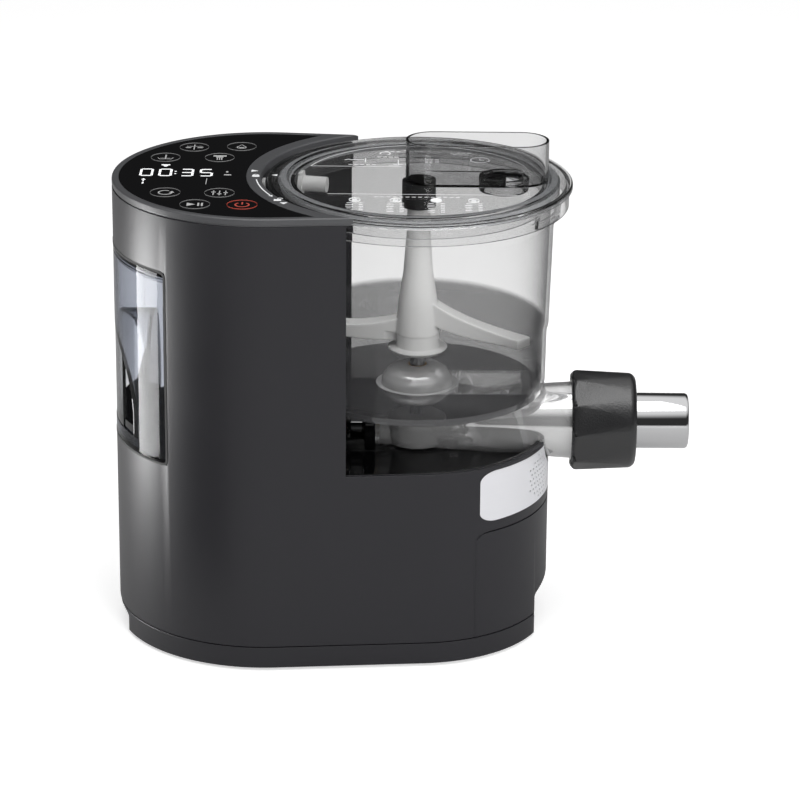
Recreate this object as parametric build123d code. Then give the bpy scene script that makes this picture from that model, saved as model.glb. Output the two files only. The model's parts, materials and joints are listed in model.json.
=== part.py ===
from build123d import *
import os
from math import acos, asin, atan, ceil, cos, degrees, pi, radians, sin, sqrt, tan

# Electric pasta maker: a drive tower with a touch panel and a water tank, a low base with a
# drawer for the dies, a clear mixing bowl with its lid, and an extruder that points to +X.
# Millimetres. Origin: centre of the footprint on the standing surface. +Y is the back.

# ---------------------------------------------------------------- driving dimensions
# Walls, clearances and small hardware
WALL = 3.0                  # moulded shells
LINER = 2.0                 # thin inner mouldings
GAP = 0.4                   # between bodies that move past each other
SEAM = 0.6                  # shadow line between neighbouring covers
RUN = 0.06                  # radial clearance of a shaft in its bearing
BOARD_T = 1.6
SCREW_R = 1.6
SCREW_HEAD_R = 3.4
POST_R = 4.5
FOOT_PROUD = 2.0            # how far the rubber feet stand below the plinth
FOOT_R = 9.0
FOOT_STEM_R = 3.5

# Bowl and lid, seen from above: each ring follows the one inside it
BOWL_R = 89.6
BOWL_WALL = 2.5
BOWL_LOW_R = BOWL_R - 3.6
COLLAR_R = BOWL_R + 5.4
PLUG_R = BOWL_R - 5.0
LID_RING_IN = PLUG_R + 1.4
LID_RING_OUT = LID_RING_IN + 6.0
SKIRT_R = COLLAR_R + 2.4
LID_R = SKIRT_R + 4.3
BAND_IN_R = LID_R + 2.6     # inner edge of the top frame
BAND_OUT_R = BAND_IN_R + 9.9
WELL_R = LID_R + 4.7        # hollow face of the tower, round the bowl axis

# Plan of the body: a wide circle round the tower, a smaller one under the bowl, straight sides
TAIL_R = 100.7
TOWER_DEPTH = 96.6          # from the hollow face to the back, on the centre line
TAIL_OFFSET = WELL_R + TOWER_DEPTH - TAIL_R
NOSE_R = BOWL_R + 2.0
NOSE_OFFSET = 2.0
RIM_W = 4.6                 # outer border of the glass
GLASS_T = 3.0

# Heights above the underside of the plinth: each level follows the one below it
PLINTH_H = 14.5
RIM_H = 135.0               # top edge of the base, round the bowl tray
TRAY_H = RIM_H - 11.0
AXIS_H = RIM_H + 5.5        # auger axis
BOWL_FLOOR_H = AXIS_H + 26.5
BOWL_STEP_H = BOWL_FLOOR_H + 45.0
BOWL_RIM_H = BOWL_FLOOR_H + 136.5
COLLAR_H = BOWL_RIM_H - 12.5
LID_H = BOWL_RIM_H + 6.0
TOWER_H = LID_H + 2.5
FRAME_H = 5.5               # top frame round the glass

# Finger recesses under both ends
GRIP_DEPTH = 8.7
GRIP_S_H = 7.5              # height of the curved part
GRIP_NOSE_H = 26.5          # top of the straight part, front end
GRIP_TAIL_H = 9.6

# Silver band with the outlet of the drying fan
BAND_Z1_H = RIM_H - 3.0
BAND_Z0_H = BAND_Z1_H - 35.4
BAND_T = 1.2
BAND_HALF_DEG = 61.0
BAND_CORNER = 7.0
PATCH_HALF_DEG = 33.0
PATCH_HOLE_R = 0.85
PATCH_PITCH = 4.2
PATCH_MARGIN = 3.0
TRAY_T = 2.5

# Drawer for the dies
DRAWER_TOP_H = BAND_Z0_H - 7.65
DRAWER_HALF_W = NOSE_R - 10.6
DRAWER_CORNER = 5.0
DRAWER_BOX_W = 2 * DRAWER_HALF_W - 30.0
DRAWER_BOX_L = 74.0
DRAWER_BOX_H = 52.0
DIE_R = 17.8
DIE_T = 7.0
SPARE_DIES = 5

# Extruder, from the bowl axis
TUBE_IN_X = -28.0           # left end of the tube
TUBE_OUT_X = BOWL_R + 14.4
TUBE_IN_R = 17.5
TUBE_OUT_R = 26.0
TUBE_WALL = 3.0
CHANNEL_R = TUBE_OUT_R      # trough of the tray, where the tube is slimmer than at its end
TROUGH_HALF_W = 25.0
TROUGH_UP = 8.0             # centre of its round bottom above the auger axis
TROUGH_X1 = BOWL_LOW_R - 10.0
AUGER_GAP = 0.6
AUGER_SHAFT_R = 6.0
AUGER_PITCH = 34.0
FLIGHT_DEG = 46.0
THREAD_R = TUBE_OUT_R + 2.6
THREAD_LEN = 27.0
NUT_R0 = THREAD_R + 5.2
NUT_R1 = NUT_R0 - 1.8
NUT_X1 = TUBE_OUT_X + 43.5
NUT_FLATS = 10
NUT_FLAT_IN = 1.6           # depth of a flat below the round of the nut
CUP_R = 18.8
CUP_WALL = 2.0
NOZZLE_REACH = TUBE_OUT_X + THREAD_LEN + 52.2
HEX_AF = 10.0
COUPLING_R = 14.5
COUPLING_LEN = 9.2
NOSE_TUBE_R = 15.5
BEARING_R = 11.0
FLANGE_R = 22.0
LUG_COUNT = 3

# Gear chamber under the floor, its cover and the bevel pair
CHAMBER_R = 27.8
CHAMBER_LOW_R = 15.0
CHAMBER_DROP = 17.0         # bottom of the chamber below the auger axis
CHAMBER_RISE = 14.0         # height above the auger axis where the chamber is widest
DOME_R = CHAMBER_R - 3.3
DOME_TOP_H = BOWL_FLOOR_H + 13.0
DOME_TOP_R = 10.5
BEVEL_MODULE = 2.0
BEVEL_PINION_TEETH = 12
BEVEL_GEAR_TEETH = 20
BEVEL_FACE = 0.62           # small end of the teeth, as a share of the cone distance
PINION_BORE = 4.5

# Paddle
PADDLE_FLANGE_H = DOME_TOP_H + 9.0
PADDLE_TOP_H = LID_H - 15.5
PADDLE_FLANGE_R = 20.0
PADDLE_LOW_R = 15.0
PADDLE_TOP_R = 8.0
PADDLE_REACH = BOWL_LOW_R - 12.0
ARM_T = 6.5
HIGH_ARM = (34.0, 13.0)     # root and tip of the long arm above the flange
LOW_ARM = (21.0, 7.0)
SPINDLE_R = 5.0
SPINDLE_SQUARE = 6.8
SPINDLE_SQUARE_L = 26.0

# Lid
LID_T = 2.6
LID_RING_UP = 2.0
HOPPER_X0 = -9.0
HOPPER_X1 = LID_R - 16.2
HOPPER_W = 37.0
HOPPER_RIM_H = LID_H + 27.5
HOPPER_WALL = 1.8
FUNNEL_X = HOPPER_X1 - 29.5
FUNNEL_R = 13.0
SPOUT_DEG = 168.0           # water inlet of the lid, round the bowl axis
SPOUT_H = BOWL_RIM_H - 4.5
SPOUT_R = 5.2
SPOUT_BORE = 2.4

# Water tank
TANK_Z0_H = RIM_H + SEAM
TANK_Z1_H = TOWER_H - 43.7
TANK_EDGE_Y = TAIL_R - 21.2
TANK_DEPTH = 52.0
TANK_WALL = 2.2
TANK_COVER_T = 4.0
TANK_PLAY = 0.8             # behind the tank in its bay
COVER_RIM_T = 1.5
RECESS_HALF_W = 53.0
RECESS_TOP_H = TANK_Z1_H - 55.3
RECESS_LOW_H = TANK_Z0_H + 11.4
RECESS_DEPTH = 24.0
HANDLE_TOP_H = RECESS_LOW_H + 25.0
OUTLET_Y = 21.5 - TANK_EDGE_Y
OUTLET_R = 5.0

# Drive train: motor pinion, stepped idler, output gear
MOTOR_R = 33.0
MOTOR_LEN = 78.0
MOTOR_SHAFT_R = 3.0
MOTOR_BOSS_R = 12.0
STAGE1_MODULE = 1.0
STAGE1_PINION_TEETH = 12
STAGE1_GEAR_TEETH = 60
STAGE1_W = 9.0
STAGE2_MODULE = 1.5
STAGE2_PINION_TEETH = 12
STAGE2_GEAR_TEETH = 48
STAGE2_W = 11.0
IDLER_Y = 9.9               # idler beside the plane of motor and auger
OUT_SHAFT_R = 6.0
IDLER_PIN_R = 4.0
CASE_WALL = 2.5

# Blower under the tray
BLOWER_R = 27.0
BLOWER_H = 15.0
BLADES = 18

# ---------------------------------------------------------------- places worked out
TAIL_REACH = TAIL_OFFSET + TAIL_R
BOWL_X = (TAIL_REACH - NOZZLE_REACH) / 2.0
TAIL_X = BOWL_X - TAIL_OFFSET
NOSE_X = BOWL_X - NOSE_OFFSET
LEFT_X = TAIL_X - TAIL_R
RIGHT_X = NOSE_X + NOSE_R

UNDER_Z = FOOT_PROUD
SEAM_Z = UNDER_Z + PLINTH_H
RIM_Z = UNDER_Z + RIM_H
TOP_Z = UNDER_Z + TOWER_H
FRAME_Z = TOP_Z - FRAME_H
TRAY_Z = UNDER_Z + TRAY_H
AXIS_Z = UNDER_Z + AXIS_H
FLOOR_Z = UNDER_Z + BOWL_FLOOR_H
LID_Z = UNDER_Z + LID_H
BAND_Z0 = UNDER_Z + BAND_Z0_H
BAND_Z1 = UNDER_Z + BAND_Z1_H
DRAWER_Z1 = UNDER_Z + DRAWER_TOP_H
TANK_Z0 = UNDER_Z + TANK_Z0_H
TANK_Z1 = UNDER_Z + TANK_Z1_H
TANK_BACK_X = LEFT_X + TANK_DEPTH
STAGE1_C = (STAGE1_PINION_TEETH + STAGE1_GEAR_TEETH) * STAGE1_MODULE / 2
STAGE2_C = (STAGE2_PINION_TEETH + STAGE2_GEAR_TEETH) * STAGE2_MODULE / 2
IDLER_Z = AXIS_Z - sqrt(STAGE2_C ** 2 - IDLER_Y ** 2)
MOTOR_Z = IDLER_Z - sqrt(STAGE1_C ** 2 - IDLER_Y ** 2)
FAR = 400.0                 # longer than the whole machine, for cutting tools


# ---------------------------------------------------------------- shapes used by many pieces
def box(x0, x1, y0, y1, z0, z1):
    """Axis-aligned box from its two corners."""
    solid = Box(x1 - x0, y1 - y0, z1 - z0)
    return Pos((x0 + x1) / 2, (y0 + y1) / 2, (z0 + z1) / 2) * solid


def post(r, z0, z1, x=0.0, y=0.0):
    """Upright cylinder."""
    return Pos(x, y, (z0 + z1) / 2) * Cylinder(r, z1 - z0)


def ring(r_out, r_in, z0, z1, x=0.0, y=0.0):
    """Upright tube."""
    return post(r_out, z0, z1, x, y) - post(r_in, z0 - 1, z1 + 1, x, y)


def bar(r, x0, x1, y=0.0, z=AXIS_Z):
    """Cylinder along X."""
    return Pos((x0 + x1) / 2, y, z) * Rot(0, 90, 0) * Cylinder(r, x1 - x0)


def pipe(r_out, r_in, x0, x1, y=0.0, z=AXIS_Z):
    """Tube along X."""
    return bar(r_out, x0, x1, y, z) - bar(r_in, x0 - 1, x1 + 1, y, z)


def taper(r0, r1, x0, x1, z=AXIS_Z):
    """Cone along X, r0 at x0 and r1 at x1."""
    return Pos((x0 + x1) / 2, 0, z) * Rot(0, 90, 0) * Cone(r0, r1, x1 - x0)


def rounded_box(x0, x1, y0, y1, z0, z1, r):
    """Box with its four upright edges rounded."""
    solid = box(x0, x1, y0, y1, z0, z1)
    return fillet(solid.edges().filter_by(Axis.Z), r)


def lathe(points, x=0.0, y=0.0):
    """Solid of revolution about the upright axis at (x, y), from (radius, z) points."""
    outline = Polyline(*[(r, 0, z) for r, z in points], close=True)
    return Pos(x, y, 0) * revolve(make_face(outline), Axis.Z)


def lathe_x(points, z=AXIS_Z):
    """Solid of revolution about the extruder axis, from (x, radius) points."""
    outline = Polyline(*[(x, 0, r) for x, r in points], close=True)
    return Pos(0, 0, z) * revolve(make_face(outline), Axis.X)


def egg(z0, z1, inset=0.0):
    """Prism of the body plan, moved inwards by inset."""
    tail, nose = TAIL_R - inset, NOSE_R - inset
    lean = asin((TAIL_R - NOSE_R) / (NOSE_X - TAIL_X))
    nx, ny = sin(lean), cos(lean)
    a0 = (TAIL_X + tail * nx, tail * ny)
    b0 = (NOSE_X + nose * nx, nose * ny)
    a1, b1 = (a0[0], -a0[1]), (b0[0], -b0[1])
    edges = [Line(a0, b0), ThreePointArc(b0, (NOSE_X + nose, 0), b1), Line(b1, a1),
             ThreePointArc(a1, (TAIL_X - tail, 0), a0)]
    return Pos(0, 0, z0) * extrude(make_face(Wire(edges)), z1 - z0)


def grip_cut(x_end, side, top, off):
    """Finger recess under one end: straight below, with an S curve out to the end above."""
    x_in = x_end - side * (GRIP_DEPTH + off)
    x_out = x_end - side * off
    z_s = UNDER_Z + top + off
    z_e = z_s + GRIP_S_H
    s_curve = Bezier((x_in, 0, z_s), (x_in, 0, z_s + GRIP_S_H / 2), (x_out, 0, z_e - GRIP_S_H / 2),
                     (x_out, 0, z_e))
    x_far = x_end + side * 30
    low = UNDER_Z - 20
    outline = Wire([Line((x_in, 0, low), (x_in, 0, z_s)), s_curve, Line((x_out, 0, z_e), (x_far, 0, z_e)),
                    Line((x_far, 0, z_e), (x_far, 0, low)), Line((x_far, 0, low), (x_in, 0, low))])
    return extrude(make_face(outline), FAR / 2, both=True)


def skin(z0, z1, inset=0.0):
    """Body plan between two heights, with both finger recesses, moved inwards by inset."""
    solid = egg(z0, z1, inset)
    if z0 < UNDER_Z + GRIP_NOSE_H + GRIP_S_H + inset:
        solid -= grip_cut(RIGHT_X, 1, GRIP_NOSE_H, inset)
        solid -= grip_cut(LEFT_X, -1, GRIP_TAIL_H, inset)
    return solid


def well(r, z0, z1):
    """Room round the bowl, in front of the hollow face of the tower."""
    return post(r, z0, z1, BOWL_X) + box(BOWL_X, FAR, -FAR / 2, FAR / 2, z0, z1)


def on_tail(deg, inset):
    """Point on the tail circle, inset from the outside."""
    a = radians(deg)
    return TAIL_X + (TAIL_R - inset) * cos(a), (TAIL_R - inset) * sin(a)


def on_side(x, side, inset):
    """Point on a straight side of the body plan, inset from the outside."""
    lean = asin((TAIL_R - NOSE_R) / (NOSE_X - TAIL_X))
    return x, side * (TAIL_R - inset - sin(lean) * (x - TAIL_X)) / cos(lean)


def on_nose(deg, inset):
    """Point on the nose circle, inset from the outside."""
    a = radians(deg)
    return NOSE_X + (NOSE_R - inset) * cos(a), (NOSE_R - inset) * sin(a)


# ---------------------------------------------------------------- gears
PRESSURE = radians(20.0)
BACKLASH = 0.10             # share of a tooth taken off each flank


def involute(r, base):
    """Involute angle at a radius."""
    a = acos(min(1.0, base / max(r, base)))
    return tan(a) - a


def gear_points(teeth, r_pitch, r_tip, r_root, phase):
    """Closed outline of a spur gear, a tooth centred on the angle phase."""
    base = r_pitch * cos(PRESSURE)
    half = pi / (2 * teeth) * (1 - BACKLASH)
    inv_pitch = involute(r_pitch, base)
    levels = [r_root, (r_root + r_pitch) / 2, r_pitch, (r_pitch + r_tip) / 2, r_tip]
    flank = [(r, half + inv_pitch - involute(r, base)) for r in levels]
    points = []
    for k in range(teeth):
        mid = phase + 2 * pi * k / teeth
        for r, a in flank:
            points.append((r, mid - a))
        for r, a in reversed(flank):
            points.append((r, mid + a))
    return points


def spur(teeth, module, phase, x0, x1, y, z, bore):
    """Spur gear along X with its bore."""
    r = teeth * module / 2
    outline = gear_points(teeth, r, r + 0.85 * module, r - 1.15 * module, phase)
    face = make_face(Polyline(*[(0, rr * cos(a), rr * sin(a)) for rr, a in outline], close=True))
    solid = Pos(x0, y, z) * extrude(face, x1 - x0, dir=(1, 0, 0))
    return solid - bar(bore, x0 - 1, x1 + 1, y, z)


def bevel_outline(teeth, own, mate, phase, scale):
    """Outline of a bevel gear at its large end, scaled towards the apex it shares with its mate."""
    cone = atan(own / mate)
    length = sqrt(own * own + mate * mate)
    virtual = own / cos(cone)
    half_tooth = pi * BEVEL_MODULE / 4 * (1 - BACKLASH)
    base = virtual * cos(PRESSURE)
    flank = []
    for h in (-1.15 * BEVEL_MODULE, -0.5 * BEVEL_MODULE, 0.0, 0.4 * BEVEL_MODULE, 0.8 * BEVEL_MODULE):
        thick = (virtual + h) * (half_tooth / virtual + involute(virtual, base) - involute(virtual + h, base))
        radius = mate * tan(cone + atan(h / length))
        flank.append((radius * scale, thick / (own + h * cos(cone))))
    points = []
    for k in range(teeth):
        mid = phase + 2 * pi * k / teeth
        points += [(r, mid - a) for r, a in flank] + [(r, mid + a) for r, a in reversed(flank)]
    return points


BEVEL_PINION_R = BEVEL_PINION_TEETH * BEVEL_MODULE / 2
BEVEL_GEAR_R = BEVEL_GEAR_TEETH * BEVEL_MODULE / 2


# ---------------------------------------------------------------- places of the base posts
POSTS = [on_tail(118, 7.0), on_tail(-118, 7.0), on_tail(150, 7.0), on_tail(-150, 7.0),
         on_side(NOSE_X - 9.0, 1, 6.3), on_side(NOSE_X - 9.0, -1, 6.3)]
POST_TOP = SEAM_Z + 42.0


def housing():
    """Outer shell of tower and base in one moulding."""
    solid = skin(SEAM_Z + SEAM, FRAME_Z) - well(WELL_R, RIM_Z, TOP_Z)
    low = skin(SEAM_Z - 1, TRAY_Z - TRAY_T, WALL)
    high = egg(TRAY_Z - TRAY_T - 0.01, FRAME_Z - WALL, WALL) - well(WELL_R + WALL, TRAY_Z - 10, TOP_Z)
    tray_room = egg(TRAY_Z - TRAY_T - 0.01, RIM_Z + 1, WALL) & well(WELL_R, TRAY_Z - 10, RIM_Z + 1)
    solid = solid - low - high - tray_room
    solid -= board_plan(7.2, FRAME_Z - WALL - 1, FRAME_Z + 1)
    for x, y in BOARD_STUDS:
        solid -= post(SCREW_R, FRAME_Z - WALL - 1, BOARD_Z + 4.0, x, y)
    solid -= bar(CHANNEL_R + TRAY_T, NOSE_X + 40, FAR / 2)
    solid -= bar(NOSE_TUBE_R, BOWL_X - WELL_R - 12, BOWL_X - 60)
    # recess and outlet of the silver band
    solid -= band_blank(BAND_T + 0.05, 0.05)
    solid -= plenum()
    # drawer opening, tank opening
    solid -= drawer_window(SEAM, 0)
    solid -= box(-FAR, TANK_BACK_X, -TANK_EDGE_Y, TANK_EDGE_Y, TANK_Z0, TANK_Z1)
    # posts for the screws of the plinth
    for x, y in POSTS:
        inside = egg(UNDER_Z, SEAM_Z + SEAM, WALL) + egg(SEAM_Z + SEAM, TOP_Z, WALL / 2)
        column = post(POST_R, UNDER_Z + WALL, POST_TOP, x, y) & inside
        solid += column - post(SCREW_R, UNDER_Z, SEAM_Z + 8, x, y)
    # inlet and cooling slots in the back
    solid -= inlet_block(TAIL_R + 5)
    for k in range(7):
        x = TAIL_X + 38 + 7 * k
        solid -= rounded_box(x - 1.6, x + 1.6, NOSE_R - 10, TAIL_R + 5, SEAM_Z + 24, SEAM_Z + 62, 1.2)
    # water outlet in the hollow face
    return solid - spout_bar(OUTLET_STEM_R, WELL_R - 6, WELL_R + 8)


def spout_bar(r, r0, r1):
    """Cylinder along the radius of the bowl that the water passes, at the height of the spout."""
    a = radians(SPOUT_DEG)
    mid = (r0 + r1) / 2
    place = Pos(BOWL_X + mid * cos(a), mid * sin(a), UNDER_Z + SPOUT_H) * Rot(0, 0, SPOUT_DEG) * Rot(0, 90, 0)
    return place * Cylinder(r, r1 - r0)


def inlet_block(y1):
    """Blank of the mains inlet in the back of the tower, out to y1."""
    return box(TAIL_X - 16, TAIL_X + 16, TAIL_R - 24, y1, SEAM_Z + 20, SEAM_Z + 44)


def mains_inlet():
    """Appliance inlet with its three blades."""
    solid = inlet_block(TAIL_R - 2.5)
    solid -= rounded_box(TAIL_X - 12.2, TAIL_X + 12.2, TAIL_R - 18, TAIL_R + 5, SEAM_Z + 24, SEAM_Z + 40, 2)
    blades = [(0, SEAM_Z + 35), (-7, SEAM_Z + 30), (7, SEAM_Z + 30)]
    for dx, z in blades:
        solid += box(TAIL_X + dx - 1, TAIL_X + dx + 1, TAIL_R - 19, TAIL_R - 9, z - 2, z + 2)
    return solid


def plinth():
    """Bottom pan of the body."""
    solid = skin(UNDER_Z, SEAM_Z)
    solid -= skin(UNDER_Z + WALL, SEAM_Z + 1, WALL)
    lip = skin(SEAM_Z - 4, SEAM_Z + 3, WALL + 0.1) - skin(SEAM_Z - 5, SEAM_Z + 4, WALL + 1.6)
    lip += skin(SEAM_Z - 5, SEAM_Z - 2.5, WALL - 0.5) - skin(SEAM_Z - 6, SEAM_Z, WALL + 1.6)
    lip -= box(NOSE_X + 10, FAR / 2, -FAR, FAR, 0, SEAM_Z + 9)
    for x, y in POSTS:
        lip -= post(POST_R + 0.3, 0, SEAM_Z + 9, x, y)
    solid += lip
    x0 = CASE_X1 + MOTOR_LEN - 22
    cradle = box(x0, x0 + 14, -26, 26, UNDER_Z + WALL, MOTOR_Z - 8)
    solid += cradle - bar(MOTOR_R, x0 - 1, x0 + 16, 0, MOTOR_Z)
    for x, y in POSTS:
        solid -= post(SCREW_R, 0, SEAM_Z, x, y)
        solid -= post(SCREW_HEAD_R, 0, UNDER_Z + 1.4, x, y)
    for x, y in FEET:
        solid -= post(FOOT_STEM_R + 0.4, 0, SEAM_Z, x, y)
    for k in range(9):
        y = -28 + 7 * k
        solid -= rounded_box(BOWL_X - 62, BOWL_X - 22, y - 1.5, y + 1.5, 0, SEAM_Z, 1.2)
    return solid


FEET = [on_tail(125, 26), on_tail(-125, 26), on_nose(52, 22), on_nose(-52, 22)]


def rubber_feet():
    """Four feet, each on the stem that presses on its weighing cell."""
    return [post(FOOT_R, 0, UNDER_Z, x, y) + post(FOOT_STEM_R, UNDER_Z, UNDER_Z + WALL + 1.5, x, y)
            for x, y in FEET]


CELL_L = 34.0
CELL_Z = UNDER_Z + WALL + 1.5


def load_cells():
    """Bending-beam cells of the built-in scale, one over each foot."""
    cells = []
    for x, y in FEET:
        side = 1 if y < 0 else -1
        beam = box(x - 5, x + 5, y - 5, y + 5, CELL_Z, CELL_Z + 5)
        beam += box(x - 5, x + 5, min(y, y + side * CELL_L), max(y, y + side * CELL_L), CELL_Z, CELL_Z + 5)
        end = y + side * (CELL_L - 5)
        beam += box(x - 5, x + 5, end - 5, end + 5, UNDER_Z + WALL, CELL_Z + 5)
        middle = y + side * CELL_L / 2
        beam -= Pos(x, middle, CELL_Z + 2.5) * Rot(0, 90, 0) * Cylinder(1.7, 20)
        cells.append(beam)
    return cells


def screw(x, y, z_head, length):
    """Pan-head screw that points up from the slot in its head."""
    head = post(SCREW_HEAD_R - 0.1, z_head, z_head + 1.4, x, y)
    solid = head + post(SCREW_R, z_head + 1.4, z_head + length, x, y)
    return solid - box(x - 2, x + 2, y - 0.4, y + 0.4, z_head - 1, z_head + 0.7)


def screws():
    """Screws of the plinth, of the control board and of the gearbox cover."""
    base = [screw(x, y, UNDER_Z, 18.0) for x, y in POSTS]
    board = [screw(x, y, BOARD_Z - 1.4, 5.4) for x, y in BOARD_STUDS]
    case = [bar(SCREW_R, CASE_X1 - CASE_WALL, CASE_X1, y, z) + bar(2.9, CASE_X1, CASE_X1 + 1.0, y, z)
            for y, z in CASE_SCREWS]
    return base + board + case


# ---------------------------------------------------------------- base: tray, band, blower
def bowl_tray():
    """Black tray under the bowl, with the trough for the extruder tube."""
    solid = egg(TRAY_Z - TRAY_T, RIM_Z, WALL) & well(WELL_R, TRAY_Z - 20, RIM_Z + 5)
    solid -= egg(TRAY_Z, RIM_Z + 1, WALL + TRAY_T) & well(WELL_R - TRAY_T, TRAY_Z - 20, RIM_Z + 5)
    x0 = BOWL_X - WELL_R + 12
    trough = bar(CHANNEL_R + TRAY_T, x0, RIGHT_X) & egg(0, TRAY_Z, 0.6)
    solid += trough
    return solid - bar(CHANNEL_R, x0 + TRAY_T, FAR / 2) - bar(NOSE_TUBE_R, -FAR, x0 + TRAY_T + 1)


def band_blank(depth, proud):
    """Shell of the silver band with rounded corners, depth thick."""
    half = radians(BAND_HALF_DEG)
    y1 = NOSE_R * sin(half)
    solid = ring(NOSE_R + proud, NOSE_R - depth, BAND_Z0, BAND_Z1, NOSE_X)
    window = Pos(FAR / 4 + NOSE_X, 0, (BAND_Z0 + BAND_Z1) / 2) * Box(FAR / 2, 2 * y1, BAND_Z1 - BAND_Z0)
    window = fillet(window.edges().filter_by(Axis.X), BAND_CORNER)
    return (solid & window) - bar(CHANNEL_R + TRAY_T, NOSE_X, FAR / 2)


def patch_holes():
    """Places of the outlet holes, as (angle, height), inside a long round-ended patch."""
    mid = (BAND_Z0 + BAND_Z1) / 2
    half_h = (BAND_Z1 - BAND_Z0) / 2 - PATCH_MARGIN
    half_l = NOSE_R * radians(PATCH_HALF_DEG)
    row_h = PATCH_PITCH * sin(radians(60))
    rows = int(half_h / row_h)
    cols = int(half_l / PATCH_PITCH) + 1
    places = []
    for j in range(-rows, rows + 1):
        z = mid + j * row_h
        for i in range(-cols, cols + 1):
            s = (i + 0.5 * (j % 2)) * PATCH_PITCH
            over = max(0.0, abs(s) - (half_l - half_h))
            y = NOSE_R * sin(s / NOSE_R)
            clear = sqrt(y * y + (z - AXIS_Z) ** 2) - CHANNEL_R - TRAY_T
            if over * over + (z - mid) ** 2 <= half_h * half_h and clear > PATCH_HOLE_R + 1.2:
                places.append((s / NOSE_R, z))
    return places


def silver_band():
    """Aluminium trim that wraps the front end, drilled over the blower."""
    solid = band_blank(BAND_T, 0.0)
    drills = [Pos(NOSE_X, 0, z) * Rot(0, 0, degrees(a)) * Pos(NOSE_R, 0, 0) * Rot(0, 90, 0)
              * Cylinder(PATCH_HOLE_R, 8) for a, z in patch_holes()]
    return solid - drills


def plenum():
    """Opening of the housing wall behind the drilled patch of the band."""
    half_y = NOSE_R * sin(radians(PATCH_HALF_DEG))
    solid = ring(NOSE_R - BAND_T, NOSE_R - WALL - 2, BAND_Z0 + 2, BAND_Z1 - 2, NOSE_X)
    solid &= box(NOSE_X, FAR / 2, -half_y, half_y, 0, FAR)
    return solid - bar(CHANNEL_R + TRAY_T + 2, NOSE_X, FAR / 2)


def duct_block(shrink, r_end):
    """Block of the duct between the blower and the housing wall, moved inwards by shrink."""
    half_y = NOSE_R * sin(radians(PATCH_HALF_DEG)) - shrink
    solid = box(BLOWER_X + BLOWER_R + 4 + shrink, FAR / 2, -half_y, half_y, BAND_Z0 + 2 + shrink,
                TRAY_Z - TRAY_T - shrink)
    return (solid & post(r_end, 0, FAR, NOSE_X)) - bar(CHANNEL_R + TRAY_T + shrink, NOSE_X, FAR / 2)


BLOWER_X = NOSE_X + 40.0
BLOWER_Z0 = DRAWER_Z1 + 3.0


def blower_case():
    """Flat scroll housing of the drying fan with its outlet and spokes."""
    z1 = BLOWER_Z0 + BLOWER_H
    outer = post(BLOWER_R + 4, BLOWER_Z0, z1, BLOWER_X)
    outer += box(BLOWER_X, BLOWER_X + BLOWER_R + 10, 0, BLOWER_R + 4, BLOWER_Z0, z1)
    inner = post(BLOWER_R + 2, BLOWER_Z0 + 1.5, z1 - 1.5, BLOWER_X)
    inner += box(BLOWER_X, BLOWER_X + BLOWER_R + 20, 2, BLOWER_R + 2, BLOWER_Z0 + 1.5, z1 - 1.5)
    eye = post(17, BLOWER_Z0 - 1, BLOWER_Z0 + 3, BLOWER_X)
    spokes = [Pos(BLOWER_X, 0, BLOWER_Z0 + 0.75) * Rot(0, 0, 60 * k) * Box(34.5, 2.0, 1.5) for k in range(3)]
    solid = outer - inner - eye
    for spoke in spokes:
        solid += spoke
    solid += post(6, BLOWER_Z0, BLOWER_Z0 + 2.2, BLOWER_X) + post(1.5, BLOWER_Z0, z1 - 4.2, BLOWER_X)
    for x, y in BLOWER_EARS:
        ear = rounded_box(x - 4, x + 4, min(y, 0.8 * y), max(y, 0.8 * y) + 0.1, z1 - 3, z1, 0.5)
        solid += ear + post(3, z1 - 3, TRAY_Z - TRAY_T, x, y)
    return solid


BLOWER_EARS = [(BLOWER_X - 12, 36.0), (BLOWER_X - 12, -36.0)]


def blower_wheel():
    """Radial impeller with its hub motor cup."""
    z0, z1 = BLOWER_Z0 + 3.0, BLOWER_Z0 + BLOWER_H - 2.6
    wheel = post(BLOWER_R - 1, z1 - 1.2, z1, BLOWER_X) + post(13, z0, z1, BLOWER_X)
    for k in range(BLADES):
        blade = Pos(BLOWER_R - 5.5, 0, (z0 + z1) / 2) * Rot(0, 0, 32) * Box(9.0, 1.0, z1 - z0)
        wheel += Pos(BLOWER_X, 0, 0) * Rot(0, 0, 360 / BLADES * k) * blade
    wheel -= post(1.5 + RUN, z0 - 1, z1 - 1.0, BLOWER_X)
    return wheel


def outlet_duct():
    """Duct from the blower to the back of the drilled patch."""
    blower_end = box(BLOWER_X, BLOWER_X + BLOWER_R + 10, 0, BLOWER_R + 4, 0, BLOWER_Z0 + BLOWER_H)
    return duct_block(0, NOSE_R - WALL) - duct_block(1.8, NOSE_R) - blower_end


# ---------------------------------------------------------------- drawer
BOX_X1 = RIGHT_X - GRIP_DEPTH - WALL
BOX_X0 = BOX_X1 - DRAWER_BOX_L
BOX_Z0 = SEAM_Z + SEAM


def drawer_window(grow, z0):
    """Block of the drawer front with rounded upper corners, moved outwards by grow."""
    half = DRAWER_HALF_W + grow
    block = box(NOSE_X + 20, FAR / 2, -half, half, z0, DRAWER_Z1 + grow)
    upper = block.edges().filter_by(Axis.X).group_by(Axis.Z)[-1]
    return fillet(upper, DRAWER_CORNER + grow)


def drawer_front():
    """Curved front of the drawer, with the finger recess under it."""
    outer = skin(SEAM_Z + SEAM, DRAWER_Z1) & drawer_window(0, SEAM_Z + SEAM)
    return outer - skin(0, DRAWER_Z1 + 5, WALL)


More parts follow.
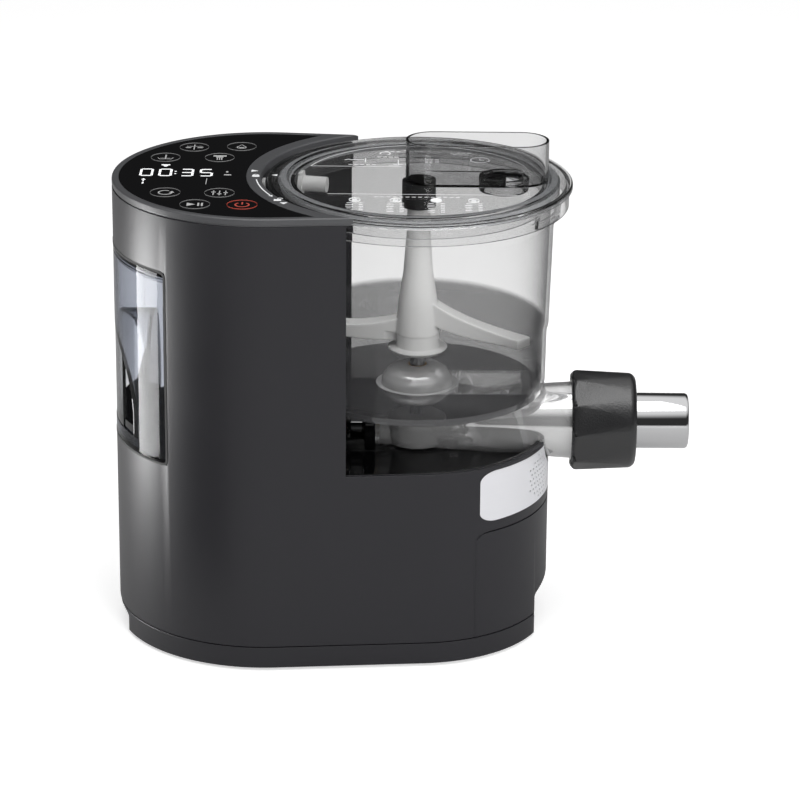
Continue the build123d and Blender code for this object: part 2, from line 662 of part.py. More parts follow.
def drawer_box():
    """Open box behind the drawer front, with its side runners."""
    half = DRAWER_BOX_W / 2
    outer = box(BOX_X0, BOX_X1, -half, half, BOX_Z0, BOX_Z0 + DRAWER_BOX_H)
    inner = box(BOX_X0 + 2, BOX_X1 - 2, -half + 2, half - 2, BOX_Z0 + 2, FAR)
    solid = outer - inner
    keep = skin(0, FAR, WALL)
    lugs = [box(BOX_X1 - 12, FAR / 2, y - 5, y + 5, BOX_Z0 + 34, BOX_Z0 + 44) & keep for y in (-30, 30)]
    for lug in lugs:
        solid += lug - inner
    for side in (-1, 1):
        y0, y1 = sorted((side * half, side * (half + 3)))
        solid += box(BOX_X0, BOX_X1, y0, y1, BOX_Z0 + 20, BOX_Z0 + 24)
    return solid & keep


def drawer_rails():
    """Two channels on the plinth that carry the drawer runners."""
    rails = []
    half = DRAWER_BOX_W / 2
    for side in (-1, 1):
        y0, y1 = sorted((side * (half + GAP), side * (half + 6)))
        rail = box(BOX_X0 - 4, BOX_X1 - 8, y0, y1, UNDER_Z + WALL, BOX_Z0 + 28)
        rail &= skin(0, FAR, WALL + 0.3)
        a0, a1 = sorted((side * (half - 1), side * (half + 3 + GAP)))
        rail -= box(BOX_X0 - GAP, BOX_X1 + 9, a0, a1, BOX_Z0 + 20 - 0.3, BOX_Z0 + 24 + 0.3)
        for x, y in FEET:
            rail -= box(x - 6, x + 6, -FAR, FAR, 0, CELL_Z + 6)
        rails.append(rail)
    return rails


def die(x, y, z0, kind):
    """Round die plate with one of five hole patterns."""
    solid = post(DIE_R - 0.4, z0, z0 + DIE_T, x, y) + post(DIE_R - 2.4, z0, z0 + DIE_T + 2, x, y)
    top, low = z0 + DIE_T + 3, z0 - 1
    if kind == 0:
        cuts = [box(x - 11, x + 11, y + 5 * k - 0.7, y + 5 * k + 0.7, low, top) for k in (-1, 0, 1)]
    elif kind == 1:
        cuts = [post(1.3, low, top, x + 9 * cos(a * pi / 4), y + 9 * sin(a * pi / 4)) for a in range(8)]
    elif kind == 2:
        cuts = [ring(4.2, 2.6, low, z0 + DIE_T - 1, x, y), post(1.0, low, top, x, y)]
        cuts += [post(1.2, low, top, x + 3.4 * cos(a), y + 3.4 * sin(a)) for a in (0, pi / 2, pi, 3 * pi / 2)]
    elif kind == 3:
        cuts = [box(x - 13, x + 13, y - 0.8, y + 0.8, low, top)]
    else:
        cuts = [box(x + 8 * cos(a * pi / 3) - 2, x + 8 * cos(a * pi / 3) + 2, y + 8 * sin(a * pi / 3) - 0.8,
                    y + 8 * sin(a * pi / 3) + 0.8, low, top) for a in range(6)]
    return solid - cuts


def spare_dies():
    """Die plates kept in the drawer."""
    step = 2 * DIE_R + 3
    dies = []
    for k in range(SPARE_DIES):
        col, row = k % 3, k // 3
        x = BOX_X0 + 3 + DIE_R + row * (2 * DIE_R - 2.5)
        y = (col - 1) * step + row * step / 2
        dies.append(die(x, y, BOX_Z0 + 2, k))
    return dies


# ---------------------------------------------------------------- tower top
def top_frame():
    """Frame round the glass, with the wide band beside the bowl."""
    solid = egg(FRAME_Z, TOP_Z) - well(BAND_IN_R, FRAME_Z - 1, TOP_Z + 1)
    solid = chamfer(solid.edges().group_by(Axis.Z)[-1].filter_by(GeomType.CIRCLE), 0.8)
    solid -= egg(FRAME_Z - 1, FRAME_Z + 1.2, -1) - egg(FRAME_Z - 2, FRAME_Z + 2, 0.7)
    solid -= glass_plan(0.0, TOP_Z - GLASS_T - 0.3, TOP_Z + 1)
    return solid - glass_plan(2.4, FRAME_Z - 1, TOP_Z + 1)


def glass_plan(inset, z0, z1):
    """Crescent of the glass, moved inwards."""
    return egg(z0, z1, RIM_W + inset) - well(BAND_OUT_R + inset, z0 - 1, z1 + 1)


def touch_glass():
    """Black glass of the touch panel."""
    return glass_plan(0.15, TOP_Z - GLASS_T - 0.3, TOP_Z - 0.3)


# places of the eight touch keys, from the centre of the tail circle
TOUCH_KEYS = [(-49.9, 62.0), (-18.0, 64.5), (-67.7, 37.2), (-31.5, 37.8), (-62.7, -42.8),
              (-27.4, -42.8), (-41.9, -68.3), (-11.5, -68.3)]
DISPLAY_X, DISPLAY_Y = -58.5, 2.0
BOARD_Z = FRAME_Z - WALL - BOARD_T


def touch_springs():
    """Coil contacts between the board and the glass, one under each touch key."""
    return [ring(4.0, 2.6, BOARD_Z + BOARD_T, TOP_Z - GLASS_T - 0.3, TAIL_X + x, y) for x, y in TOUCH_KEYS]


def board_plan(inset, z0, z1):
    """Plan of the board under the glass."""
    return egg(z0, z1, 8 + inset) - well(BAND_OUT_R + 7 + inset, z0 - 1, z1 + 1)


def control_board():
    """Board with the touch keys and the processor, screwed under the roof of the housing."""
    solid = board_plan(0, BOARD_Z, BOARD_Z + BOARD_T)
    solid += box(TAIL_X - 48, TAIL_X - 34, -8, 6, BOARD_Z - 1.6, BOARD_Z)
    solid += box(TAIL_X - 70, TAIL_X - 62, -14, 14, BOARD_Z - 6, BOARD_Z)
    for x, y in BOARD_STUDS:
        solid -= post(SCREW_R, 0, TOP_Z, x, y)
    return solid


BOARD_STUDS = [on_tail(180, 11.8), on_tail(112, 11.8), on_tail(-112, 11.8)]


def display_module():
    """Four-digit display on the control board."""
    x, y = TAIL_X + DISPLAY_X, DISPLAY_Y
    return rounded_box(x - 25, x + 25, y - 11, y + 11, BOARD_Z + BOARD_T, TOP_Z - GLASS_T - 0.3, 1)


# ---------------------------------------------------------------- water circuit
def bay_room(grow=0.0):
    """Room of the tank in the tail of the tower."""
    half = TANK_EDGE_Y + grow
    return box(-FAR, TANK_BACK_X + grow, -half, half, TANK_Z0 - grow, TANK_Z1 + grow)


def tank_bay():
    """Liner of the tank room."""
    solid = (egg(0, FAR, WALL) & bay_room(LINER)) - bay_room()
    return solid - bar(OUTLET_R + 2, TANK_BACK_X - 5, TANK_BACK_X + 10, OUTLET_Y, TANK_OUT_Z)


TANK_OUT_Z = TANK_Z0 + 14.0


def arch(grow, depth):
    """Hand recess of the tank: straight sides and a half-round top."""
    half = RECESS_HALF_W + grow
    z_mid = UNDER_Z + RECESS_TOP_H - RECESS_HALF_W
    z_low = UNDER_Z + RECESS_LOW_H - grow
    x1 = LEFT_X + depth
    round_top = bar(half, -FAR, x1, 0, z_mid) & box(-FAR, x1, -half, half, z_low, FAR)
    return box(-FAR, x1, -half, half, z_low, z_mid) + round_top


def water_tank():
    """Clear tank with the arched hand recess and the outlet at its back."""
    z0, z1 = TANK_Z0 + GAP, TANK_Z1 - SEAM - TANK_COVER_T
    half, back = TANK_EDGE_Y - SEAM, TANK_BACK_X - TANK_PLAY
    plan = box(-FAR, back, -half, half, z0, z1)
    hollow = box(-FAR, back - TANK_WALL, TANK_WALL - half, half - TANK_WALL, z0 + TANK_WALL, z1 + 1)
    solid = egg(z0, z1) & plan
    room = (egg(0, FAR, TANK_WALL) & hollow) - arch(TANK_WALL, RECESS_DEPTH + TANK_WALL)
    solid = solid - arch(0, RECESS_DEPTH) - room
    solid += bar(OUTLET_R, TANK_BACK_X - 2, TANK_BACK_X + 6, OUTLET_Y, TANK_OUT_Z)
    return solid - bar(OUTLET_R - 1.5, TANK_BACK_X - 12, TANK_BACK_X + 12, OUTLET_Y, TANK_OUT_Z)


def tank_cover():
    """Flat cover of the tank with its filling hole."""
    z1 = TANK_Z1 - SEAM
    z0 = z1 - TANK_COVER_T
    half, back = TANK_EDGE_Y - SEAM, TANK_BACK_X - TANK_PLAY
    inset = TANK_WALL + 0.3
    deep = inset + COVER_RIM_T
    plug = box(-FAR, back - inset, inset - half, half - inset, z0 - 3, z0)
    inner = box(-FAR, back - deep, deep - half, half - deep, z0 - 4, z0)
    rim = (egg(0, FAR, inset) & plug) - (egg(0, FAR, deep) & inner)
    solid = (egg(z0, z1) & box(-FAR, back, -half, half, z0, z1)) + rim
    return solid - rounded_box(LEFT_X + 14, LEFT_X + 36, -20, 20, z0 - 5, z1 + 1, 8)


def tank_handle():
    """Black lining in the lower part of the hand recess of the tank, with its finger ledge."""
    z_top = UNDER_Z + HANDLE_TOP_H
    lining = (arch(0, RECESS_DEPTH) - arch(-LINER, RECESS_DEPTH - LINER)) & box(-FAR, 0, -FAR, FAR, 0, z_top)
    ledge = arch(0, RECESS_DEPTH) & box(-FAR, 0, -FAR, FAR, 0, UNDER_Z + RECESS_LOW_H + 6)
    return (lining + ledge) & egg(0, FAR, 1.0)


def tank_dock():
    """Socket in the back of the bay that the outlet of the tank plugs into."""
    x = TANK_BACK_X
    solid = bar(OUTLET_R + 2, x, x + 12, OUTLET_Y, TANK_OUT_Z)
    solid += bar(OUTLET_R + 5, x + LINER, x + 5, OUTLET_Y, TANK_OUT_Z)
    solid += bar(3.0, x + 12, x + DOCK_REACH + 3, OUTLET_Y, TANK_OUT_Z)
    solid += post(3.0, TANK_OUT_Z - 12, TANK_OUT_Z + 3, x + DOCK_REACH, OUTLET_Y)
    solid -= bar(OUTLET_R + GAP, x - 1, x + 9, OUTLET_Y, TANK_OUT_Z)
    solid -= bar(1.8, x, x + DOCK_REACH, OUTLET_Y, TANK_OUT_Z)
    return solid - post(1.8, TANK_OUT_Z - 13, TANK_OUT_Z, x + DOCK_REACH, OUTLET_Y)


DOCK_REACH = 19.0           # elbow of the dock behind the bay
PUMP_X = TAIL_X - 30.0
PUMP_Y = 38.7 - TAIL_R
PUMP_Z = SEAM_Z + 40.0
OUTLET_STEM_R = 3.6
RISER_REACH = 12.0          # elbow of the outlet behind the hollow face


def water_pump():
    """Diaphragm pump with its motor, on a bracket on the plinth."""
    solid = bar(14, PUMP_X - 30, PUMP_X + 8, PUMP_Y, PUMP_Z)
    solid += rounded_box(PUMP_X + 8, PUMP_X + 26, PUMP_Y - 16, PUMP_Y + 16, PUMP_Z - 16, PUMP_Z + 16, 3)
    solid += box(PUMP_X + 10, PUMP_X + 24, PUMP_Y - 14, PUMP_Y + 14, UNDER_Z + WALL, PUMP_Z - 15)
    solid += post(3.0, PUMP_Z + 15, PUMP_Z + 24, PUMP_X + 13, PUMP_Y)
    solid += post(3.0, PUMP_Z + 15, PUMP_Z + 24, PUMP_X + 21, PUMP_Y)
    return solid


def hose(points, radius, r=3.0):
    """Round hose along straight runs joined by arcs."""
    path = FilletPolyline(*points, radius=radius)
    start = Plane(origin=path @ 0, z_dir=path % 0)
    return sweep(start * Circle(r), path)


def water_hoses():
    """Hoses from the tank dock to the pump, and from the pump up to the outlet."""
    x = TANK_BACK_X + DOCK_REACH
    z_port = PUMP_Z + 24.0
    z_dock = TANK_OUT_Z - 12.0
    drop = z_dock - z_port
    suction = hose([(x, OUTLET_Y, z_dock), (x, OUTLET_Y, z_dock - 0.35 * drop),
                    (PUMP_X + 21, PUMP_Y, z_port + 0.35 * drop), (PUMP_X + 21, PUMP_Y, z_port)], 20)
    a = radians(SPOUT_DEG)
    r = WELL_R + RISER_REACH
    x_up, y_up = BOWL_X + r * cos(a), r * sin(a)
    z_up = UNDER_Z + SPOUT_H - 12.0
    z_over = CASE_Z1 + 16.0
    pressure = hose([(PUMP_X + 13, PUMP_Y, z_port), (PUMP_X + 13, PUMP_Y, z_over), (x_up, y_up, z_over + 55),
                     (x_up, y_up, z_up)], 20)
    return [suction, pressure]


def water_outlet():
    """Nozzle in the hollow face that feeds the water inlet of the lid, with its elbow."""
    a = radians(SPOUT_DEG)
    r = WELL_R + RISER_REACH
    x, y, z = BOWL_X + r * cos(a), r * sin(a), UNDER_Z + SPOUT_H
    body = spout_bar(OUTLET_STEM_R, WELL_R - 2.2, r + 2.4) + post(3.0, z - 12, z, x, y)
    body += spout_bar(OUTLET_STEM_R + 0.7, WELL_R + WALL + 0.2, WELL_R + WALL + 2)
    return body - spout_bar(1.8, WELL_R - 4, r) - post(1.8, z - 13, z, x, y)


# ---------------------------------------------------------------- drive train
ANGLE_1 = acos(IDLER_Y / STAGE1_C)                      # motor to idler, from +Y towards +Z
ANGLE_2 = pi - asin((AXIS_Z - IDLER_Z) / STAGE2_C)      # idler to output

CASE_X1 = BOWL_X - WELL_R - WALL - 1.0
STAGE1_X1 = CASE_X1 - CASE_WALL - 1.5
STAGE1_X0 = STAGE1_X1 - STAGE1_W
STAGE2_X1 = STAGE1_X0 - 1.5
STAGE2_X0 = STAGE2_X1 - STAGE2_W
CASE_X0 = STAGE2_X0 - 0.6 - 4.0 - CASE_WALL
CASE_Y0, CASE_Y1 = -44.0, 46.0
CASE_Z0 = MOTOR_Z - MOTOR_R - 3.0
CASE_Z1 = AXIS_Z + STAGE2_GEAR_TEETH * STAGE2_MODULE / 2 + 6.0


def case_block(x0, x1, shrink):
    """Rounded block round the gears."""
    block = box(x0, x1, CASE_Y0 + shrink, CASE_Y1 - shrink, CASE_Z0 + shrink, CASE_Z1 - shrink)
    return fillet(block.edges().filter_by(Axis.X), 12 - shrink)


def gearbox_case():
    """Open dish of the gearbox, with the seats of the output bearing and the idler pin."""
    solid = case_block(CASE_X0, CASE_X1 - CASE_WALL, 0)
    solid -= case_block(CASE_X0 + CASE_WALL, CASE_X1, CASE_WALL)
    solid += pipe(BEARING_R + 2, BEARING_R, CASE_X0 + 1, STAGE2_X0 - 0.6)
    solid += bar(IDLER_PIN_R + 3, CASE_X0 + 1, STAGE2_X0 - 0.6, IDLER_Y, IDLER_Z)
    solid -= bar(IDLER_PIN_R, CASE_X0 + 1, STAGE2_X0 + 5, IDLER_Y, IDLER_Z)
    foot = box(CASE_X0 + 3, CASE_X1 - CASE_WALL, CASE_Y0 + 16, CASE_Y0 + 28, UNDER_Z + WALL, CASE_Z0 + 1)
    foot += box(CASE_X0 + 3, CASE_X1 - CASE_WALL, CASE_Y1 - 28, CASE_Y1 - 16, UNDER_Z + WALL, CASE_Z0 + 1)
    return solid + foot


NOSE_X1 = BOWL_X + TUBE_IN_X - 19.5


def gearbox_cover():
    """Cover of the gearbox with the long nose that carries the output shaft."""
    solid = case_block(CASE_X1 - CASE_WALL, CASE_X1, 0) + bar(NOSE_TUBE_R, CASE_X1 - 1, NOSE_X1)
    solid -= bar(BEARING_R, CASE_X1 - CASE_WALL - 1, NOSE_X1 + 1)
    solid -= bar(IDLER_PIN_R, CASE_X1 - CASE_WALL - 1, CASE_X1 + 1, IDLER_Y, IDLER_Z)
    solid -= bar(MOTOR_BOSS_R, CASE_X1 - CASE_WALL - 1, CASE_X1 + 1, 0, MOTOR_Z)
    for y, z in CASE_SCREWS:
        solid -= bar(SCREW_R, CASE_X1 - 5, CASE_X1 + 1, y, z)
    return solid


CASE_SCREWS = [(y, z) for y in (CASE_Y0 + SCREW_HEAD_R, CASE_Y1 - SCREW_HEAD_R)
               for z in (CASE_Z0 + 30, CASE_Z1 - 30)]


def motor_can():
    """Drive motor with its flange and end bell."""
    x0 = CASE_X1
    solid = bar(MOTOR_R, x0, x0 + MOTOR_LEN, 0, MOTOR_Z)
    solid += bar(MOTOR_BOSS_R, x0 - CASE_WALL, x0 + 1, 0, MOTOR_Z)
    solid += bar(14, x0 + MOTOR_LEN - 1, x0 + MOTOR_LEN + 8, 0, MOTOR_Z)
    solid -= bar(MOTOR_SHAFT_R + RUN, x0 - 6, x0 + MOTOR_LEN + 4, 0, MOTOR_Z)
    return solid


def motor_rotor():
    """Motor shaft with its pinion."""
    solid = spur(STAGE1_PINION_TEETH, STAGE1_MODULE, ANGLE_1, STAGE1_X0, STAGE1_X1, 0, MOTOR_Z, 1.0)
    return solid + bar(MOTOR_SHAFT_R, STAGE1_X0, CASE_X1 + MOTOR_LEN + 3.5, 0, MOTOR_Z)


def idler_gear():
    """Stepped gear on the idler pin."""
    bore = IDLER_PIN_R + RUN
    back_1 = ANGLE_1 + pi + pi / STAGE1_GEAR_TEETH
    x0, x1 = STAGE1_X0 + 0.3, STAGE1_X1 - 0.3
    big = spur(STAGE1_GEAR_TEETH, STAGE1_MODULE, back_1, x0, x1, IDLER_Y, IDLER_Z, bore)
    return big + spur(STAGE2_PINION_TEETH, STAGE2_MODULE, ANGLE_2, STAGE2_X0, x0, IDLER_Y, IDLER_Z, bore)


def idler_pin():
    """Fixed steel pin of the idler."""
    return bar(IDLER_PIN_R, CASE_X0 + 1, CASE_X1, IDLER_Y, IDLER_Z)


def output_gear():
    """Large gear of the second stage."""
    back_2 = ANGLE_2 + pi + pi / STAGE2_GEAR_TEETH
    x0, x1 = STAGE2_X0 + 0.3, STAGE2_X1 - 0.3
    solid = spur(STAGE2_GEAR_TEETH, STAGE2_MODULE, back_2, x0, x1, 0, AXIS_Z, OUT_SHAFT_R)
    r_web = STAGE2_GEAR_TEETH * STAGE2_MODULE / 2 - 7
    for side0, side1 in ((x0 - 1.3, x0 + 3), (x1 - 3, x1 + 1.3)):
        solid -= pipe(r_web, 12, side0, side1)
    return solid


COUPLING_X1 = BOWL_X + TUBE_IN_X - 8.0
COUPLING_X0 = COUPLING_X1 - COUPLING_LEN


def output_shaft():
    """Steel shaft from the gearbox to the coupling."""
    return bar(OUT_SHAFT_R, CASE_X0 + CASE_WALL + 0.3, COUPLING_X0 + 1.5)


def hex_bar(across, x0, x1):
    """Hexagonal bar along X."""
    plan = RegularPolygon(across / 2, 6, major_radius=False)
    return Pos(x0, 0, AXIS_Z) * Rot(0, 90, 0) * extrude(plan, x1 - x0)


def drive_coupling():
    """Polished steel dog that drives the auger through its hexagon."""
    solid = bar(COUPLING_R, COUPLING_X0, COUPLING_X1)
    solid = chamfer(solid.edges().filter_by(GeomType.CIRCLE), 0.6)
    solid -= bar(OUT_SHAFT_R, COUPLING_X0 - 1, COUPLING_X0 + 1.5)
    return solid - hex_bar(HEX_AF + 2 * GAP, COUPLING_X0 + 1.5, COUPLING_X1 + 1)


def shaft_bearings():
    """Bearing rings of the output shaft, in the case and in the nose."""
    places = [(CASE_X0 + CASE_WALL, STAGE2_X0 - 0.6), (NOSE_X1 - 7.0, NOSE_X1)]
    return [pipe(BEARING_R, OUT_SHAFT_R + RUN, x0, x1) for x0, x1 in places]


# ---------------------------------------------------------------- power supply
SUPPLY_Z = CELL_Z + 8.0


def power_board():
    """Mains board on pillars beside the gearbox."""
    x0, y0, y1 = TAIL_X - 70, 10.0, 60.0
    solid = box(x0, x0 + 24, y0, y1, SUPPLY_Z, SUPPLY_Z + BOARD_T)
    solid += post(8, SUPPLY_Z + BOARD_T, SUPPLY_Z + 30, x0 + 12, y0 + 12)
    solid += box(x0 + 2, x0 + 18, y0 + 24, y0 + 38, SUPPLY_Z + BOARD_T, SUPPLY_Z + 22)
    for x in (x0 + 4, x0 + 18):
        for y in (y0 + 4, y1 - 4):
            solid += post(2.5, UNDER_Z + WALL, SUPPLY_Z, x, y)
    return solid


def wiring():
    """Supply lead from the inlet to the power board, and the loom up to the control board."""
    x, z = TAIL_X - 49, SUPPLY_Z + BOARD_T
    supply = hose([(TAIL_X, TAIL_R - 24, SEAM_Z + 30), (TAIL_X, TAIL_R - 40, SEAM_Z + 30),
                   (x, 57, z + 16), (x, 57, z)], 8, 1.8)
    x_up = TANK_BACK_X + LINER + 3.0
    loom = hose([(x, 48, z), (x, 48, z + 18), (x_up, 56, z + 50), (x_up, 56, BOARD_Z)], 10, 2.2)
    return [supply, loom]


# ---------------------------------------------------------------- bowl
def bowl():
    """Clear mixing bowl with its floor, collar and bayonet ledges."""
    x = BOWL_X
    z_step = UNDER_Z + BOWL_STEP_H
    z_rim = UNDER_Z + BOWL_RIM_H
    z_col = UNDER_Z + COLLAR_H
    t = BOWL_WALL
    solid = lathe([(0, FLOOR_Z - t), (BOWL_LOW_R - 6, FLOOR_Z - t), (BOWL_LOW_R - 1.5, FLOOR_Z - t + 2),
                   (BOWL_LOW_R, FLOOR_Z + 5), (BOWL_LOW_R + 0.5, z_step - 4), (BOWL_LOW_R + 1.7, z_step),
                   (BOWL_R, z_col - 10), (COLLAR_R - 2, z_col), (COLLAR_R - 2, z_rim),
                   (BOWL_R - t + 0.6, z_rim), (BOWL_R - t, z_col - 10), (BOWL_LOW_R + 1.7 - t, z_step),
                   (BOWL_LOW_R + 0.5 - t, z_step - 4),
                   (BOWL_LOW_R - t, FLOOR_Z + 5), (BOWL_LOW_R - 5, FLOOR_Z), (0, FLOOR_Z)], x)
    # bayonet ledges that stand out of the collar
    for k in range(LUG_COUNT):
        turn = 90 + 360 / LUG_COUNT * k
        ledge = ring(COLLAR_R, COLLAR_R - 2.5, z_col + 6.4, z_col + 9.4)
        sector = Rot(0, 0, turn) * box(0, FAR, -16, 16, z_col, z_col + 20)
        solid += Pos(x, 0, 0) * (ledge & sector)
    slot = box(x, x + TROUGH_X1, -TROUGH_HALF_W, TROUGH_HALF_W, FLOOR_Z - 10, FLOOR_Z + 1)
    slot += post(CHAMBER_R, FLOOR_Z - 10, FLOOR_Z + 1, x)
    slot += taper(TUBE_IN_R, TUBE_OUT_R, x + TUBE_IN_X, x + TUBE_OUT_X)
    return solid - slot - spout_bar(SPOUT_BORE, 80, COLLAR_R + 1)


def tube_r(x):
    """Outer radius of the extruder tube at a place from the bowl axis."""
    return TUBE_IN_R + (TUBE_OUT_R - TUBE_IN_R) * (x - TUBE_IN_X) / (TUBE_OUT_X - TUBE_IN_X)


def trough(shrink, top):
    """Block of the trough from the bowl axis to its sloping end, moved inwards by shrink."""
    half = TROUGH_HALF_W - shrink
    x0, x1 = BOWL_X, BOWL_X + TROUGH_X1 - shrink
    x_v, z_low = BOWL_X + CHAMBER_R + 5 - shrink, AXIS_Z - FAR / 4
    pts = [(x0, z_low), (x0, top), (x1, top), (x1 - 4, FLOOR_Z - 3), (x_v, AXIS_Z + 5 + shrink), (x_v, z_low)]
    side = extrude(make_face(Polyline(*[(x, 0, z) for x, z in pts], close=True)), half, both=True)
    z_u = AXIS_Z + TROUGH_UP
    return side & (bar(half, x0 - 1, x1 + 1, 0, z_u) + box(x0 - 1, x1 + 1, -half, half, z_u, top + 1))


def chamber(shrink, top):
    """Rounded gear chamber about the bowl axis, moved inwards by shrink."""
    low = AXIS_Z - CHAMBER_DROP + shrink
    r_low, r = CHAMBER_LOW_R, CHAMBER_R - shrink
    rise = CHAMBER_RISE + CHAMBER_DROP
    curve = [(r_low + (r - r_low) * sin(a), low + rise * (1 - cos(a))) for a in (0.0, 0.4, 0.8, 1.2, pi / 2)]
    return lathe([(0, low)] + curve + [(r, top), (0, top)], BOWL_X)


def extruder_tube():
    """Clear tapering tube of the auger, with the gear chamber and the trough under the bowl."""
    x0, x1 = BOWL_X + TUBE_IN_X, BOWL_X + TUBE_OUT_X
    z_seat = FLOOR_Z - BOWL_WALL
    solid = taper(TUBE_IN_R, TUBE_OUT_R, x0, x1) + trough(0, FLOOR_Z)
    solid = solid - post(CHAMBER_R, z_seat, FAR, BOWL_X) + chamber(0, z_seat)
    solid += bar(THREAD_R - 1.2, x1, x1 + THREAD_LEN)
    for k in range(5):
        solid += bar(THREAD_R, x1 + 4 + 4.6 * k, x1 + 6.2 + 4.6 * k)
    x_in = BOWL_X + CHAMBER_R
    bore = taper(tube_r(x_in - BOWL_X) - TUBE_WALL, TUBE_OUT_R - TUBE_WALL, x_in, x1)
    bore += bar(TUBE_OUT_R - TUBE_WALL, x1 - 0.01, x1 + THREAD_LEN + 1)
    gear_room = taper(TUBE_IN_R - TUBE_WALL, TUBE_IN_R - TUBE_WALL + 1.2, x0 + TUBE_WALL, BOWL_X)
    solid -= bore + (trough(TUBE_WALL - 0.8, FAR / 2) - chamber(0, FAR))
    solid -= chamber(TUBE_WALL - 0.8, FAR / 2) + gear_room
    solid -= bar(PINION_BORE + 1.0, BOWL_X, x_in + 1)
    return solid - bar(AUGER_SHAFT_R + 2.5, x0 - 1, x0 + TUBE_WALL + 1)


def rear_flange():
    """Black flange behind the tube, with the seal land of the auger shaft."""
    x1 = BOWL_X + TUBE_IN_X
    solid = bar(FLANGE_R, x1 - 7.4, x1)
    solid = chamfer(solid.edges().filter_by(GeomType.CIRCLE), 0.8)
    return solid - bar(AUGER_SHAFT_R + 2.5, x1 - 9, x1 + 1)


def dome_points(shrink):
    """Half outline of the gear cover above the floor, from its neck down."""
    top, r0, r1 = UNDER_Z + DOME_TOP_H - 2 * shrink, DOME_TOP_R - shrink, DOME_R - shrink
    return [(r0 + (r1 - r0) * sin(a), FLOOR_Z + (top - FLOOR_Z) * cos(a)) for a in (0, 0.4, 0.8, 1.2, pi / 2)]


def gear_dome():
    """Clear cover of the gear chamber, with the neck that carries the spindle."""
    low = FLOOR_Z - BOWL_WALL
    inner = dome_points(2.2)
    skirt = [(CHAMBER_R, FLOOR_Z), (CHAMBER_R, low), (0, low)]
    solid = lathe([(0, UNDER_Z + DOME_TOP_H)] + dome_points(0) + skirt, BOWL_X)
    room = lathe([(0, inner[0][1])] + inner + [(inner[-1][0], low - 1), (0, low - 1)], BOWL_X)
    return solid - room - post(SPINDLE_R + 1.5, low, UNDER_Z + DOME_TOP_H + 5, BOWL_X)


def bowl_bushes():
    """Bronze bushes of the auger behind the tube and of the spindle in the gear cover."""
    x1, z1 = BOWL_X + TUBE_IN_X, UNDER_Z + DOME_TOP_H
    return [pipe(AUGER_SHAFT_R + 2.5, AUGER_SHAFT_R + RUN, x1 - 7.4, x1 + TUBE_WALL),
            ring(SPINDLE_R + 1.5, SPINDLE_R + RUN, z1 - 4.4, z1, BOWL_X)]


# ---------------------------------------------------------------- auger and bevel pair
AUGER_X0 = BOWL_X + CHAMBER_R + 0.8
AUGER_X1 = BOWL_X + TUBE_OUT_X + THREAD_LEN - 8.0


def flight_section(x, r_out):
    """Outline of the flight at one place along the auger."""
    mid = -2 * pi * (x - AUGER_X0) / AUGER_PITCH
    r_in, half = AUGER_SHAFT_R - 1.0, radians(FLIGHT_DEG) / 2
    inner = [(x, r_in * sin(a), AXIS_Z + r_in * cos(a)) for a in (mid - half, mid, mid + half)]
    outer = [(x, r_out * sin(a), AXIS_Z + r_out * cos(a)) for a in (mid - half, mid, mid + half)]
    return Wire([Line(inner[0], outer[0]), ThreePointArc(*outer), Line(outer[2], inner[2]),
                 ThreePointArc(*reversed(inner))])


def auger():
    """Auger with a tapering flight on its shaft and the hexagon at its tail."""
    length = AUGER_X1 - AUGER_X0
    steps = ceil(8 * length / AUGER_PITCH)
    places = [AUGER_X0 + length * k / steps for k in range(steps + 1)]
    inside = TUBE_WALL + AUGER_GAP
    sections = [flight_section(x, min(tube_r(x - BOWL_X), TUBE_OUT_R) - inside) for x in places]
    solid = taper(AUGER_SHAFT_R + 1.5, AUGER_SHAFT_R + 3.5, AUGER_X0, AUGER_X1) + Solid.make_loft(sections)
    x_neck = BOWL_X - BEVEL_GEAR_R - 3.4
    solid += bar(PINION_BORE, x_neck, AUGER_X0 + 1)
    solid += bar(AUGER_SHAFT_R, BOWL_X + TUBE_IN_X - 7.4, x_neck)
    return solid + hex_bar(HEX_AF, COUPLING_X0 + 2.2, BOWL_X + TUBE_IN_X - 7.4)


def bevel_pinion():
    """Bevel pinion pressed on the auger shaft."""
    big = bevel_outline(BEVEL_PINION_TEETH, BEVEL_PINION_R, BEVEL_GEAR_R, pi / 2, 1.0)
    small = bevel_outline(BEVEL_PINION_TEETH, BEVEL_PINION_R, BEVEL_GEAR_R, pi / 2, BEVEL_FACE)
    faces = []
    for outline, dist in ((big, BEVEL_GEAR_R), (small, BEVEL_GEAR_R * BEVEL_FACE)):
        pts = [(BOWL_X - dist, r * cos(a), AXIS_Z + r * sin(a)) for r, a in outline]
        faces.append(make_face(Polyline(*pts, close=True)))
    solid = loft(faces, ruled=True) + bar(9.0, BOWL_X - BEVEL_GEAR_R - 3.4, BOWL_X - BEVEL_GEAR_R)
    return solid - bar(PINION_BORE, BOWL_X - 40, BOWL_X)


def bevel_gear():
    """Bevel gear on the spindle of the paddle."""
    phase = pi / BEVEL_GEAR_TEETH
    big = bevel_outline(BEVEL_GEAR_TEETH, BEVEL_GEAR_R, BEVEL_PINION_R, phase, 1.0)
    small = bevel_outline(BEVEL_GEAR_TEETH, BEVEL_GEAR_R, BEVEL_PINION_R, phase, BEVEL_FACE)
    faces = []
    for outline, dist in ((big, BEVEL_PINION_R), (small, BEVEL_PINION_R * BEVEL_FACE)):
        pts = [(BOWL_X + r * cos(a), r * sin(a), AXIS_Z + dist) for r, a in outline]
        faces.append(make_face(Polyline(*pts, close=True)))
    z = AXIS_Z + BEVEL_PINION_R
    solid = loft(faces, ruled=True) + post(12.0, z, z + 5.0, BOWL_X)
    return solid - post(SPINDLE_R, AXIS_Z, FAR, BOWL_X)


